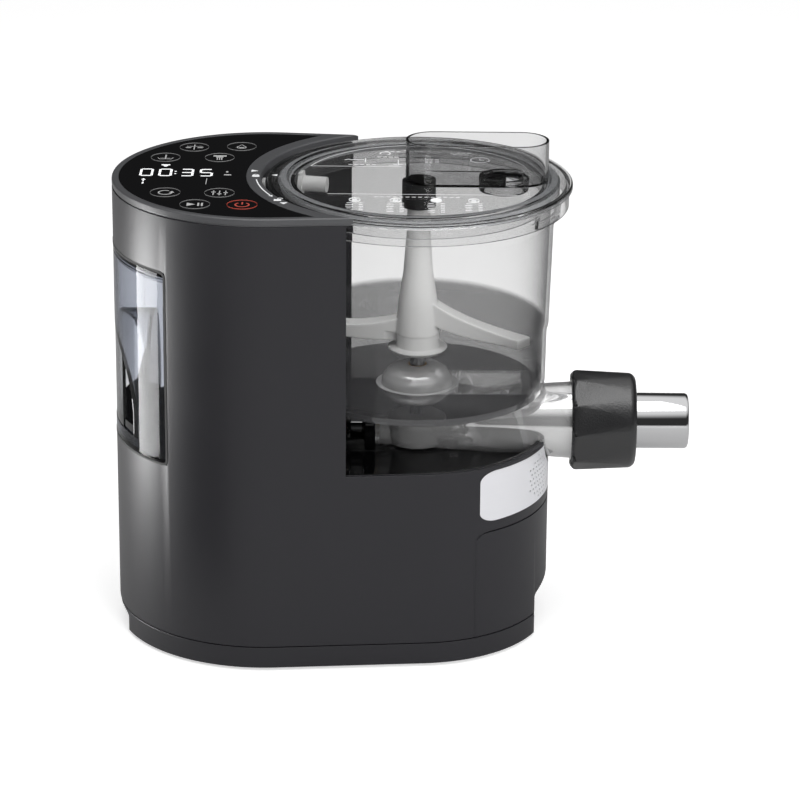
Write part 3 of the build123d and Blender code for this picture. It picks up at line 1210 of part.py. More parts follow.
def paddle_spindle():
    """Spindle from the bevel gear up into the paddle, squared at its top."""
    z0 = AXIS_Z + BEVEL_PINION_R * BEVEL_FACE
    z1 = UNDER_Z + PADDLE_FLANGE_H
    return post(SPINDLE_R, z0, z1, BOWL_X) + Pos(BOWL_X, 0, 0) * square_end(z1)


def square_end(z0):
    """Squared end of the spindle, upwards from z0."""
    half = SPINDLE_SQUARE / 2
    return box(-half, half, -half, half, z0, z0 + SPINDLE_SQUARE_L)


# ---------------------------------------------------------------- paddle
def arm(turn, z_root, z_tip):
    """Curved arm of the paddle: a bent bar that falls from the hub to its tip."""
    root, reach, t = 6.0, PADDLE_REACH, ARM_T
    drop = z_root - z_tip
    plan_mid = Bezier((root, 0), (reach * 0.45, -4.0), (reach * 0.75, -8.0), (reach, -20.0))
    pts_l, pts_r = [], []
    for k in range(9):
        p, d = plan_mid @ (k / 8), plan_mid % (k / 8)
        pts_l.append((p.X - d.Y * t, p.Y + d.X * t))
        pts_r.append((p.X + d.Y * t, p.Y - d.X * t))
    plan = make_face(Wire([Spline(*pts_l), Line(pts_l[-1], pts_r[-1]), Spline(*reversed(pts_r)),
                           Line(pts_r[0], pts_l[0])]))
    bar_plan = Pos(0, 0, z_tip - 20) * extrude(plan, drop + 60)
    z_bend = z_root - drop * 0.55
    top = Bezier((root - 2, 0, z_root + t), (reach * 0.3, 0, z_bend + t), (reach * 0.6, 0, z_tip + t),
                 (reach + 8, 0, z_tip + t))
    low = Bezier((reach + 8, 0, z_tip), (reach * 0.6, 0, z_tip), (reach * 0.3, 0, z_bend - 1.4 * t),
                 (root - 2, 0, z_root - 1.4 * t))
    side = make_face(Wire([top, Line(top @ 1, low @ 0), low, Line(low @ 1, top @ 0)]))
    return Rot(0, 0, turn) * (bar_plan & extrude(side, FAR / 4, both=True))


def paddle():
    """White kneading paddle: tapering neck, flange and two arms."""
    z_f = UNDER_Z + PADDLE_FLANGE_H
    z_t = UNDER_Z + PADDLE_TOP_H
    hub = lathe([(0, z_f), (PADDLE_FLANGE_R - 5, z_f), (PADDLE_FLANGE_R, z_f + 3), (PADDLE_FLANGE_R, z_f + 5),
                 (PADDLE_LOW_R + 1.5, z_f + 8), (PADDLE_LOW_R, z_f + 12), (PADDLE_LOW_R - 2.0, z_f + 36),
                 (PADDLE_TOP_R + 2.0, z_f + 56), (PADDLE_TOP_R, z_f + 84), (PADDLE_TOP_R - 0.6, z_t),
                 (0, z_t)])
    solid = hub + arm(-8, z_f + HIGH_ARM[0], z_f + HIGH_ARM[1]) + arm(172, z_f + LOW_ARM[0], z_f + LOW_ARM[1])
    return Pos(BOWL_X, 0, 0) * (solid - square_end(z_f))


# ---------------------------------------------------------------- lid
def lid():
    """Clear lid: disc, raised ring, flange with its lip, plug rim, skirt and bayonet lugs."""
    x = BOWL_X
    z = LID_Z
    t = LID_T
    z_plug = UNDER_Z + BOWL_RIM_H - 9
    z_col = UNDER_Z + COLLAR_H
    solid = lathe([(0, z - t), (PLUG_R - 2.2, z - t), (PLUG_R - 2.2, z_plug), (PLUG_R, z_plug),
                   (PLUG_R, z - t), (LID_R - 2.2, z - t), (LID_R - 2.2, z - t - 1), (LID_R, z - t - 1),
                   (LID_R, z - 1), (LID_R - 1, z), (LID_RING_OUT + 1, z), (LID_RING_OUT, z + LID_RING_UP),
                   (LID_RING_IN + 1.5, z + LID_RING_UP), (LID_RING_IN, z), (0, z)], x)
    solid += ring(SKIRT_R + 2, SKIRT_R, z_col + 3, z - t + 0.5, x)
    lugs = ring(SKIRT_R + 0.2, COLLAR_R + 0.3, z_col + 3, z_col + 6)
    for k in range(LUG_COUNT):
        turn = 90 + 360 / LUG_COUNT * k
        solid += Pos(x, 0, 0) * (lugs & (Rot(0, 0, turn) * box(0, FAR, -14, 14, z_col, z_col + 20)))
    solid -= hopper_plan(HOPPER_WALL, z - t - 1, z + 1)
    return solid - spout_bar(SPOUT_BORE, PLUG_R - 5, SKIRT_R + 3)


def water_spout():
    """White spout of the lid that turns the water into the bowl."""
    a = radians(SPOUT_DEG)
    r_in = PLUG_R - 2.2
    z, z1 = UNDER_Z + SPOUT_H, LID_Z - LID_T
    solid = spout_bar(SPOUT_R, r_in - 20, r_in - 3) + spout_bar(SPOUT_R + 2, r_in - 4, r_in - 1)
    solid += spout_bar(SPOUT_BORE, r_in - 2, PLUG_R)
    r = r_in - 2.5
    neck = Pos(BOWL_X + r * cos(a), r * sin(a), (z + z1) / 2) * Rot(0, 0, SPOUT_DEG) * Box(3, 8, z1 - z)
    return solid + neck - spout_bar(1.4, r_in - 24, PLUG_R + 1)


def hopper_plan(inset, z0, z1):
    """Long round-ended plan of the hopper."""
    r = HOPPER_W / 2 - inset
    xa, xb = BOWL_X + HOPPER_X0 + HOPPER_W / 2, BOWL_X + HOPPER_X1 - HOPPER_W / 2
    return post(r, z0, z1, xa) + post(r, z0, z1, xb) + box(xa, xb, -r, r, z0, z1)


def lid_hopper():
    """Filling hopper with its floor and the funnel hole."""
    z0, z1 = LID_Z - LID_T, UNDER_Z + HOPPER_RIM_H
    solid = hopper_plan(HOPPER_WALL, z0, LID_Z) + hopper_plan(0, LID_Z, z1)
    solid -= hopper_plan(HOPPER_WALL, LID_Z + 1.2, z1 + 1)
    x = BOWL_X + FUNNEL_X
    solid += ring(FUNNEL_R + 3.5, FUNNEL_R, z0 - 6, LID_Z + 3, x)
    return solid - post(FUNNEL_R, z0 - 10, z1, x)


def lid_seal():
    """Silicone ring between the rim of the bowl and the lid."""
    z_rim = UNDER_Z + BOWL_RIM_H
    return ring(COLLAR_R - 3, PLUG_R + 0.5, z_rim, LID_Z - LID_T, BOWL_X)


def paddle_socket():
    """Dark socket under the lid that steadies the top of the paddle."""
    z1 = LID_Z - LID_T
    z0 = UNDER_Z + PADDLE_TOP_H - 5.0
    solid = post(PADDLE_TOP_R + 3.2, z0, z1, BOWL_X)
    return solid - post(PADDLE_TOP_R + GAP, z0 - 1, UNDER_Z + PADDLE_TOP_H + GAP, BOWL_X)


# ---------------------------------------------------------------- nozzle
END_X = BOWL_X + TUBE_OUT_X + THREAD_LEN


def nozzle_seal():
    """Silicone washer between the tube and the die cup."""
    return pipe(THREAD_R - 1.6, TUBE_OUT_R - TUBE_WALL, END_X + 0.3, END_X + 2.3)


def die_cup():
    """Polished steel cup that holds the die."""
    x0, x1 = END_X + 2.3, BOWL_X + NOZZLE_REACH
    points = [(x0, THREAD_R - 1.6), (x0 + 4, THREAD_R - 1.6), (x0 + 4, CUP_R), (x1 - 2.4, CUP_R),
              (x1 - 0.7, CUP_R - 0.7), (x1, CUP_R - 2.4), (x1, CUP_R - 3.0), (x1 - 8, CUP_R - 3.0),
              (x1 - 8, CUP_R - CUP_WALL), (x0, CUP_R - CUP_WALL)]
    return lathe_x(points)


def die_plate():
    """Die in the end of the cup, with six slots."""
    x1 = BOWL_X + NOZZLE_REACH - 8.0
    solid = bar(CUP_R - CUP_WALL, x1 - 9, x1) + bar(CUP_R - 3.0 - 0.1, x1 - 1, x1 + 3)
    slots = [Pos(x1 - 3, 0, AXIS_Z) * Rot(60 * k, 0, 0) * Pos(0, 0, 8) * Box(20, 7.0, 1.6) for k in range(6)]
    return solid - slots - bar(CUP_R - 6, x1 - 12, x1 - 5)


def nozzle_nut():
    """Black screw collar that clamps the die cup to the tube."""
    x0, x1 = BOWL_X + TUBE_OUT_X, BOWL_X + NUT_X1
    points = [(x0, NUT_R0 - 2.5), (x0 + 2.5, NUT_R0), (x1 - 3, NUT_R1), (x1, NUT_R1 - 3), (x1, CUP_R + 0.5),
              (END_X + 6.6, CUP_R + 0.5), (END_X + 6.6, THREAD_R + GAP), (x0, THREAD_R + GAP)]
    plan = RegularPolygon(NUT_R0 - NUT_FLAT_IN, NUT_FLATS, major_radius=False, rotation=180 / NUT_FLATS)
    flats = Pos(x0 - 1, 0, AXIS_Z) * Rot(0, 90, 0) * extrude(plan, x1 - x0 + 2)
    return lathe_x(points) & flats


# ---------------------------------------------------------------- all pieces, one file each
PARTS = {
    "housing": housing, "plinth": plinth, "rubber_feet": rubber_feet, "load_cells": load_cells,
    "screws": screws, "bowl_tray": bowl_tray, "silver_band": silver_band,
    "blower_case": blower_case, "blower_wheel": blower_wheel, "outlet_duct": outlet_duct,
    "drawer_front": drawer_front, "drawer_box": drawer_box, "drawer_rails": drawer_rails,
    "spare_dies": spare_dies, "top_frame": top_frame, "touch_glass": touch_glass,
    "touch_springs": touch_springs, "control_board": control_board, "display_module": display_module,
    "tank_bay": tank_bay, "water_tank": water_tank, "tank_cover": tank_cover,
    "tank_handle": tank_handle, "tank_dock": tank_dock, "water_pump": water_pump,
    "water_hoses": water_hoses, "water_outlet": water_outlet, "gearbox_case": gearbox_case,
    "gearbox_cover": gearbox_cover, "motor_can": motor_can, "motor_rotor": motor_rotor,
    "idler_gear": idler_gear, "idler_pin": idler_pin, "output_gear": output_gear,
    "output_shaft": output_shaft, "drive_coupling": drive_coupling,
    "shaft_bearings": shaft_bearings, "power_board": power_board, "wiring": wiring,
    "mains_inlet": mains_inlet, "bowl": bowl, "extruder_tube": extruder_tube,
    "rear_flange": rear_flange, "bowl_bushes": bowl_bushes, "gear_dome": gear_dome,
    "auger": auger, "bevel_pinion": bevel_pinion, "bevel_gear": bevel_gear,
    "paddle_spindle": paddle_spindle, "paddle": paddle, "lid": lid, "lid_hopper": lid_hopper,
    "lid_seal": lid_seal, "paddle_socket": paddle_socket, "water_spout": water_spout,
    "nozzle_seal": nozzle_seal, "die_cup": die_cup, "die_plate": die_plate,
    "nozzle_nut": nozzle_nut,
}


def solids_of(made):
    """Flat list of the solids in what a maker returns."""
    items = made if isinstance(made, list) else [made]
    return [solid for item in items for solid in item.solids()]


os.makedirs("parts", exist_ok=True)
for name, maker in PARTS.items():
    solids = solids_of(maker())
    shape = solids[0] if len(solids) == 1 else Compound(children=solids)
    shape.label = name
    export_step(shape, f"parts/{name}.step")
    print(f"{name}: {len(solids)} solid(s), {sum(s.volume for s in solids):.0f} mm3")
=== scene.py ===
"""Dressed electric pasta maker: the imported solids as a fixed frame, with finishes, prints and soft light.

Every length in a dataclass field is in millimetres and is turned into metres by MM where a mesh is made.
The frame is that of the solids: origin at the centre of the footprint, +X to the nozzle, +Y to the back.
"""

from __future__ import annotations

import json
import logging
import math
from dataclasses import dataclass, field
from enum import Enum
from functools import cache
from typing import Iterable, Sequence

import bmesh
import bpy
from mathutils import Matrix, Vector

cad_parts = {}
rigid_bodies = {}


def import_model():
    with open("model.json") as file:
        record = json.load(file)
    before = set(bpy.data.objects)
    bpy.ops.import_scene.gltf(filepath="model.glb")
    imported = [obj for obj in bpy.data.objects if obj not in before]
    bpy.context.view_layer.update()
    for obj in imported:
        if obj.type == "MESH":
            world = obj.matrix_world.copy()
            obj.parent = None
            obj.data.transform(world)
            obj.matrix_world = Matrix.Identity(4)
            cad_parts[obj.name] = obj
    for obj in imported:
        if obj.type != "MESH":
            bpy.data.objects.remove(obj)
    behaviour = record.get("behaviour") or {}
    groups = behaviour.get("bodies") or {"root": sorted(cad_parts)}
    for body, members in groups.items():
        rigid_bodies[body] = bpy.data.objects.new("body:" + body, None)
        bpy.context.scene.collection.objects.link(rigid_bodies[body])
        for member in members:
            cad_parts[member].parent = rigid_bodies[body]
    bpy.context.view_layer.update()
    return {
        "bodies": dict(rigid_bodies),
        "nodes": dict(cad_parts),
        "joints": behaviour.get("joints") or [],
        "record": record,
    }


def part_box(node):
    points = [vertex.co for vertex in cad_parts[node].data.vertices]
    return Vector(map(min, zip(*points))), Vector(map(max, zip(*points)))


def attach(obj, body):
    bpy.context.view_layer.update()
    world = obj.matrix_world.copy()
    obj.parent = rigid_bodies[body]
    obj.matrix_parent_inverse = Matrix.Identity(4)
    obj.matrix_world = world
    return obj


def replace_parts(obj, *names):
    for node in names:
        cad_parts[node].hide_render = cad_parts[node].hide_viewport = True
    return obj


LOG = logging.getLogger("pasta_maker")
MM = 0.001
WELD_M = 2e-6                       # corners of a solid closer than this are one
FLAT_DEG = 0.25                     # faces that meet at less than this are one before rounding
INK_GAP, INK_T = 0.01, 0.06         # a print's gap to its surface and its thickness
MARK_LIFT, MARK_T = 0.05, 0.08      # a pattern mark's middle over its surface and its thickness
ARC_STEPS, ARC_DEG = 6, 6.0         # fewest steps of a printed arc and the degrees of each
BOWL_X = 9.9                        # the upright axis of bowl, lid and paddle
MOTTLE_NOISE = (28.0, 3.0)          # scale and detail of a plastic's slow mottling
GRAIN_NOISE = (2.0, 0.6)            # detail and roughness of its grain
LAY_NOISE = (4.0, 0.7)              # detail and roughness of a metal's marks
HAZE_NOISE = (60.0, 2.0)            # scale and detail of a clear plastic's gloss
FLOAT, COLOUR = "NodeSocketFloat", "NodeSocketColor"
SURFACE = {"Colour": COLOUR, "Roughness": FLOAT, "Height": FLOAT}

Point2 = tuple[float, float]
Point3 = tuple[float, float, float]
Colour = tuple[float, float, float]
Socket, Node, Tree = bpy.types.NodeSocket, bpy.types.Node, bpy.types.NodeTree
Object, Material, Work = bpy.types.Object, bpy.types.Material, bmesh.types.BMesh


# ---- node helpers
class Graph:
    """A node tree with short ways to add and feed nodes."""

    def __init__(self, tree: Tree) -> None:
        """Keeps the tree that the nodes go into."""
        self.tree = tree

    def feed(self, target: Socket, value: object) -> None:
        """Gives an input a link where the value is a socket, and a fixed value otherwise."""
        if isinstance(value, Socket):
            self.tree.links.new(value, target)
        else:
            target.default_value = value

    def fill(self, node: Node, **settings: object) -> None:
        """Sets a node's attributes, or feeds its inputs by name with spaces as underscores."""
        for name, value in settings.items():
            if hasattr(node, name):
                setattr(node, name, value)
            else:
                self.feed(node.inputs[name.replace("_", " ")], value)

    def node(self, kind: str, *values: object, **settings: object) -> Node:
        """Adds a node.

        Args:
            kind: the node's type name.
            values: what its first inputs are fed with, in order.
            settings: attributes and named inputs, as fill takes them.

        Returns:
            The new node.
        """
        made = self.tree.nodes.new(kind)
        self.fill(made, **settings)
        for target, value in zip(made.inputs, values):
            self.feed(target, value)
        return made

    def use(self, group: Tree, **inputs: object) -> bpy.types.NodeOutputs:
        """Adds a node group, fed by name, and gives its outputs."""
        return self.node("ShaderNodeGroup", node_tree=group, **inputs).outputs

    def vector(self, operation: str, *values: object) -> Socket:
        """Joins two vectors by a Vector Math node and gives its output."""
        return self.node("ShaderNodeVectorMath", *values, operation=operation).outputs[0]

    def math(self, operation: str, *values: object) -> Socket:
        """Joins sockets or numbers by Math nodes of one operation, two at a time, and gives the output."""
        joined, rest = self.node("ShaderNodeMath", *values[:2], operation=operation).outputs[0], values[2:]
        return self.math(operation, joined, *rest) if rest else joined

    def rise(self, value: Socket, **settings: object) -> Socket:
        """Adds a smooth Map Range of a value and gives its output."""
        return self.node("ShaderNodeMapRange", value, interpolation_type="SMOOTHSTEP", **settings).outputs[0]

    def place(self) -> Socket:
        """Gives the place on the object."""
        return self.node("ShaderNodeTexCoord").outputs["Object"]

    def noise(self, scale: object, detail: float, rough: float = 0.5, place: Socket | None = None) -> Socket:
        """Adds a noise, read at the place on the object if no other is given, and gives its output."""
        return self.node("ShaderNodeTexNoise", place or self.place(), Scale=scale, Detail=detail,
                         Roughness=rough).outputs["Fac"]

    def scaled(self, colour: object, factor: Socket) -> Socket:
        """Gives a colour times a factor."""
        return self.node("ShaderNodeVectorMath", colour, operation="SCALE", Scale=factor).outputs[0]

    def bump(self, strength: float, distance: float, height: Socket) -> Socket:
        """Gives the normal of a relief, with its distance in metres."""
        return self.node("ShaderNodeBump", Strength=strength, Distance=distance, Height=height).outputs[0]


def new_group(name: str, inputs: dict[str, float | tuple[float, ...]],
              outputs: dict[str, str]) -> tuple[Graph, bpy.types.NodeOutputs, bpy.types.NodeInputs]:
    """Starts a shader node group.

    Args:
        name: the group's name.
        inputs: default of each input: a number, three for a direction or four for a colour.
        outputs: socket type of each output.

    Returns:
        The graph, what comes into the group and what goes out of it.
    """
    tree = bpy.data.node_groups.new(name, "ShaderNodeTree")
    for label, default in inputs.items():
        size = len(default) if isinstance(default, tuple) else 1
        kind = {1: FLOAT, 3: "NodeSocketVector", 4: COLOUR}[size]
        tree.interface.new_socket(name=label, in_out="INPUT", socket_type=kind).default_value = default
    for label, kind in outputs.items():
        tree.interface.new_socket(name=label, in_out="OUTPUT", socket_type=kind)
    graph = Graph(tree)
    return graph, graph.node("NodeGroupInput").outputs, graph.node("NodeGroupOutput").inputs


@cache
def grain_group() -> Tree:
    """Builds the moulded grain: fine bumps, soft mottling and a slow change of gloss."""
    graph, given, out = new_group(
        "MouldedGrain", {"Scale": 1500.0, "Colour": (0.1, 0.1, 0.1, 1.0), "Mottling": 0.1, "Roughness": 0.5,
                         "Gloss Change": 0.05}, SURFACE)
    centred = graph.math("SUBTRACT", graph.noise(*MOTTLE_NOISE), 0.5)
    shade = graph.math("ADD", graph.math("MULTIPLY", centred, given["Mottling"]), 1.0)
    change = graph.math("MULTIPLY", centred, given["Gloss Change"])
    graph.feed(out["Colour"], graph.scaled(given["Colour"], shade))
    graph.feed(out["Roughness"], graph.math("ADD", change, given["Roughness"]))
    graph.feed(out["Height"], graph.noise(given["Scale"], *GRAIN_NOISE))
    return graph.tree


@cache
def brushing_group() -> Tree:
    """Builds turning or brushing marks: noise drawn out along chosen axes."""
    graph, given, out = new_group(
        "BrushingMarks", {"Stretch": (1.0, 1.0, 1.0), "Colour": (0.6, 0.6, 0.6, 1.0), "Depth": 0.1,
                          "Roughness": 0.3}, SURFACE)
    drawn = graph.vector("MULTIPLY", graph.place(), given["Stretch"])
    marks = graph.noise(1.0, *LAY_NOISE, drawn)
    depth = graph.math("MULTIPLY", graph.math("SUBTRACT", marks, 0.5), given["Depth"])
    graph.feed(out["Colour"], graph.scaled(given["Colour"], graph.math("ADD", depth, 1.0)))
    graph.feed(out["Roughness"], graph.math("ADD", depth, given["Roughness"]))
    graph.feed(out["Height"], marks)
    return graph.tree


@cache
def radius_group() -> Tree:
    """Builds a mask that rises with the distance from a line along X."""
    graph, given, out = new_group(
        "DistanceFromAxis", {"Axis Point": (0.0, 0.0, 0.0), "Start": 0.01, "End": 0.02}, {"Mask": FLOAT})
    away = graph.vector("SUBTRACT", graph.place(), given["Axis Point"])
    flat = graph.vector("MULTIPLY", away, (0.0, 1.0, 1.0))
    length = graph.node("ShaderNodeVectorMath", flat, operation="LENGTH").outputs["Value"]
    graph.feed(out["Mask"], graph.rise(length, From_Min=given["Start"], From_Max=given["End"]))
    return graph.tree


@cache
def height_group() -> Tree:
    """Builds a mask that is 1 between two heights near an upright axis and fades above and below them."""
    graph, given, out = new_group(
        "BandByHeight", {"Low": 0.0, "High": 0.1, "Fade": 0.01, "Axis X": 0.0, "Radius": 1.0},
        {"Mask": FLOAT})
    at = graph.node("ShaderNodeSeparateXYZ", graph.place()).outputs
    across = graph.math("SUBTRACT", at["X"], given["Axis X"])
    squares = [graph.math("MULTIPLY", side, side) for side in (across, at["Y"])]
    away = graph.math("SQRT", graph.math("ADD", *squares))
    ends = [(given["Low"], "SUBTRACT"), (given["High"], "ADD")]
    sides = [graph.rise(at["Z"], From_Min=graph.math(beyond, end, given["Fade"]), From_Max=end)
             for end, beyond in ends]
    graph.feed(out["Mask"], graph.math("MULTIPLY", graph.math("LESS_THAN", away, given["Radius"]), *sides))
    return graph.tree


def cleared(owner: Material | bpy.types.World) -> Graph:
    """Gives the emptied node tree of a material or a world."""
    owner.use_nodes = True
    owner.node_tree.nodes.clear()
    return Graph(owner.node_tree)


# ---- finishes
class Lay(Enum):
    """Direction of the marks on a metal, as how fast they change along each axis, per metre."""

    ROUND_X = (2200.0, 60.0, 60.0)
    ROUND_Z = (40.0, 40.0, 2600.0)
    CAST = (900.0, 900.0, 900.0)


@dataclass(frozen=True)
class Finish:
    """A named finish; each kind dresses the Principled shader in its own way."""

    name: str

    def material(self) -> Material:
        """Builds the material of this finish."""
        made = bpy.data.materials.new(self.name)
        graph = cleared(made)
        shader = graph.node("ShaderNodeBsdfPrincipled")
        self.dress(graph, shader, graph.node("ShaderNodeOutputMaterial", shader.outputs[0]))
        return made


@dataclass(frozen=True)
class Moulded(Finish):
    """A moulded plastic or rubber with its grain."""

    colour: Colour
    roughness: float
    grain: float = 0.0
    grain_scale: float = 1500.0
    mottling: float = 0.08
    gloss_change: float = 0.06
    specular: float = 0.5
    through: float = 0.0
    through_m: float = 0.004
    relief_m: float = 0.0002

    def dress(self, graph: Graph, shader: Node, output: Node) -> None:
        """Dresses this plastic."""
        marks = graph.use(grain_group(), Scale=self.grain_scale, Colour=(*self.colour, 1.0),
                          Mottling=self.mottling, Roughness=self.roughness, Gloss_Change=self.gloss_change)
        graph.fill(shader, Base_Color=marks["Colour"], Roughness=marks["Roughness"],
                   Specular_IOR_Level=self.specular, Subsurface_Weight=self.through,
                   Subsurface_Radius=(self.through_m,) * 3)
        if self.grain > 0:
            graph.fill(shader, Normal=graph.bump(self.grain, self.relief_m, marks["Height"]))


@dataclass(frozen=True)
class Metal(Finish):
    """A bare metal with its brushing or turning marks."""

    colour: Colour
    roughness: float
    lay: Lay
    depth: float = 0.1
    relief: float = 0.05
    metallic: float = 1.0
    relief_m: float = 0.0001

    def dress(self, graph: Graph, shader: Node, output: Node) -> None:
        """Dresses this metal."""
        marks = graph.use(brushing_group(), Stretch=self.lay.value, Colour=(*self.colour, 1.0),
                          Depth=self.depth, Roughness=self.roughness)
        graph.fill(shader, Metallic=self.metallic, Base_Color=marks["Colour"], Roughness=marks["Roughness"],
                   Normal=graph.bump(self.relief, self.relief_m, marks["Height"]))


def haze(graph: Graph, roughness: float) -> Socket:
    """Gives the slowly changing roughness of a clear plastic."""
    return graph.math("MULTIPLY", graph.noise(*HAZE_NOISE), 2.0 * roughness)


@dataclass(frozen=True)
class Clear(Finish):
    """A clear plastic that darkens with the length of the way through it."""

    tint: Colour
    density: float
    lamp_share: Colour = (0.8, 0.8, 0.8)
    roughness: float = 0.02
    ior: float = 1.49
    mirror: float = 0.0
    milk: float = 0.0
    surface: Colour = (0.97, 0.97, 0.97)

    def dress(self, graph: Graph, shader: Node, output: Node) -> None:
        """Dresses this clear plastic."""
        graph.fill(shader, Base_Color=(*self.surface, 1.0), Transmission_Weight=1.0 - self.milk,
                   IOR=self.ior, Metallic=self.mirror, Roughness=haze(graph, self.roughness))
        to_lamp = graph.node("ShaderNodeLightPath").outputs["Is Shadow Ray"]
        passed = graph.node("ShaderNodeBsdfTransparent", Color=(*self.lamp_share, 1.0))
        mix = graph.node("ShaderNodeMixShader", to_lamp, shader.outputs[0], passed.outputs[0])
        body = graph.node("ShaderNodeVolumeAbsorption", Color=(*self.tint, 1.0), Density=self.density)
        graph.fill(output, Surface=mix.outputs[0], Volume=body.outputs[0])


@dataclass(frozen=True)
class ThinClear(Finish):
    """A thin smoky wall: clear face on, darker toward its edges, and with painted shade in a band of its
    inner face where that face is turned to the camera.
    """

    tint: Colour
    veil: float
    rim: float
    band: float
    shade_low: float
    shade_high: float
    inner_r: float
    shade_fade: float = 5.0
    roughness: float = 0.04
    ior: float = 1.8
    rim_power: float = 4.0

    def dress(self, graph: Graph, shader: Node, output: Node) -> None:
        """Dresses this wall."""
        # painted shade: between two heights the inner face is made darker where it is turned to the camera
        mask = graph.use(height_group(), Low=self.shade_low * MM, High=self.shade_high * MM,
                         Fade=self.shade_fade * MM, Axis_X=BOWL_X * MM, Radius=self.inner_r * MM)["Mask"]
        facing = graph.node("ShaderNodeLayerWeight", Blend=0.5).outputs["Facing"]
        edge = graph.math("MULTIPLY", graph.math("POWER", facing, self.rim_power), self.rim)
        back = graph.node("ShaderNodeNewGeometry").outputs["Backfacing"]
        dark = graph.math("MULTIPLY", mask, graph.math("SUBTRACT", 1.0, back), self.band)
        graph.fill(shader, Base_Color=(*self.tint, 1.0), Roughness=haze(graph, self.roughness), IOR=self.ior,
                   Alpha=graph.math("ADD", edge, dark, self.veil))


@dataclass(frozen=True)
class Flight(Finish):
    """The grey plastic of the auger, with a painted highlight that makes it paler toward the flights' outer
    edge.
    """

    core: Colour
    # the pale colour of the painted highlight at the flights' edge
    edge: Colour
    axis: Point3
    start: float
    end: float
    roughness: float = 0.22

    def dress(self, graph: Graph, shader: Node, output: Node) -> None:
        """Dresses the auger."""
        # painted highlight: the grey turns pale with the distance from the axis, at the flights' outer edge
        mask = graph.use(radius_group(), Start=self.start * MM, End=self.end * MM,
                         Axis_Point=[value * MM for value in self.axis])["Mask"]
        painted_highlight_colour = graph.node("ShaderNodeMix", data_type="RGBA", Factor=mask, A=(*self.core, 1.0),
                           B=(*self.edge, 1.0))
        marks = graph.use(grain_group(), Roughness=self.roughness, Colour=painted_highlight_colour.outputs["Result"])
        graph.fill(shader, Base_Color=marks["Colour"], Roughness=marks["Roughness"])


@dataclass(frozen=True)
class Ink(Finish):
    """A printed mark that glows a little: backlight on the display's marks, painted glow on every other
    print.
    """

    colour: Colour
    # emission strength: backlight for the display's ink, painted glow for the other inks
    glow: float
    fibre_scale: float = 2500.0
    fibre_low: float = 0.9
    fibre_change: float = 0.16
    roughness: float = 0.45

    def dress(self, graph: Graph, shader: Node, output: Node) -> None:
        """Dresses this ink."""
        fibre = graph.math("MULTIPLY", graph.noise(self.fibre_scale, 1.0), self.fibre_change)
        graph.fill(shader, Base_Color=graph.scaled(self.colour, graph.math("ADD", fibre, self.fibre_low)),
                   Roughness=self.roughness, Emission_Color=(*self.colour, 1.0), Emission_Strength=self.glow)


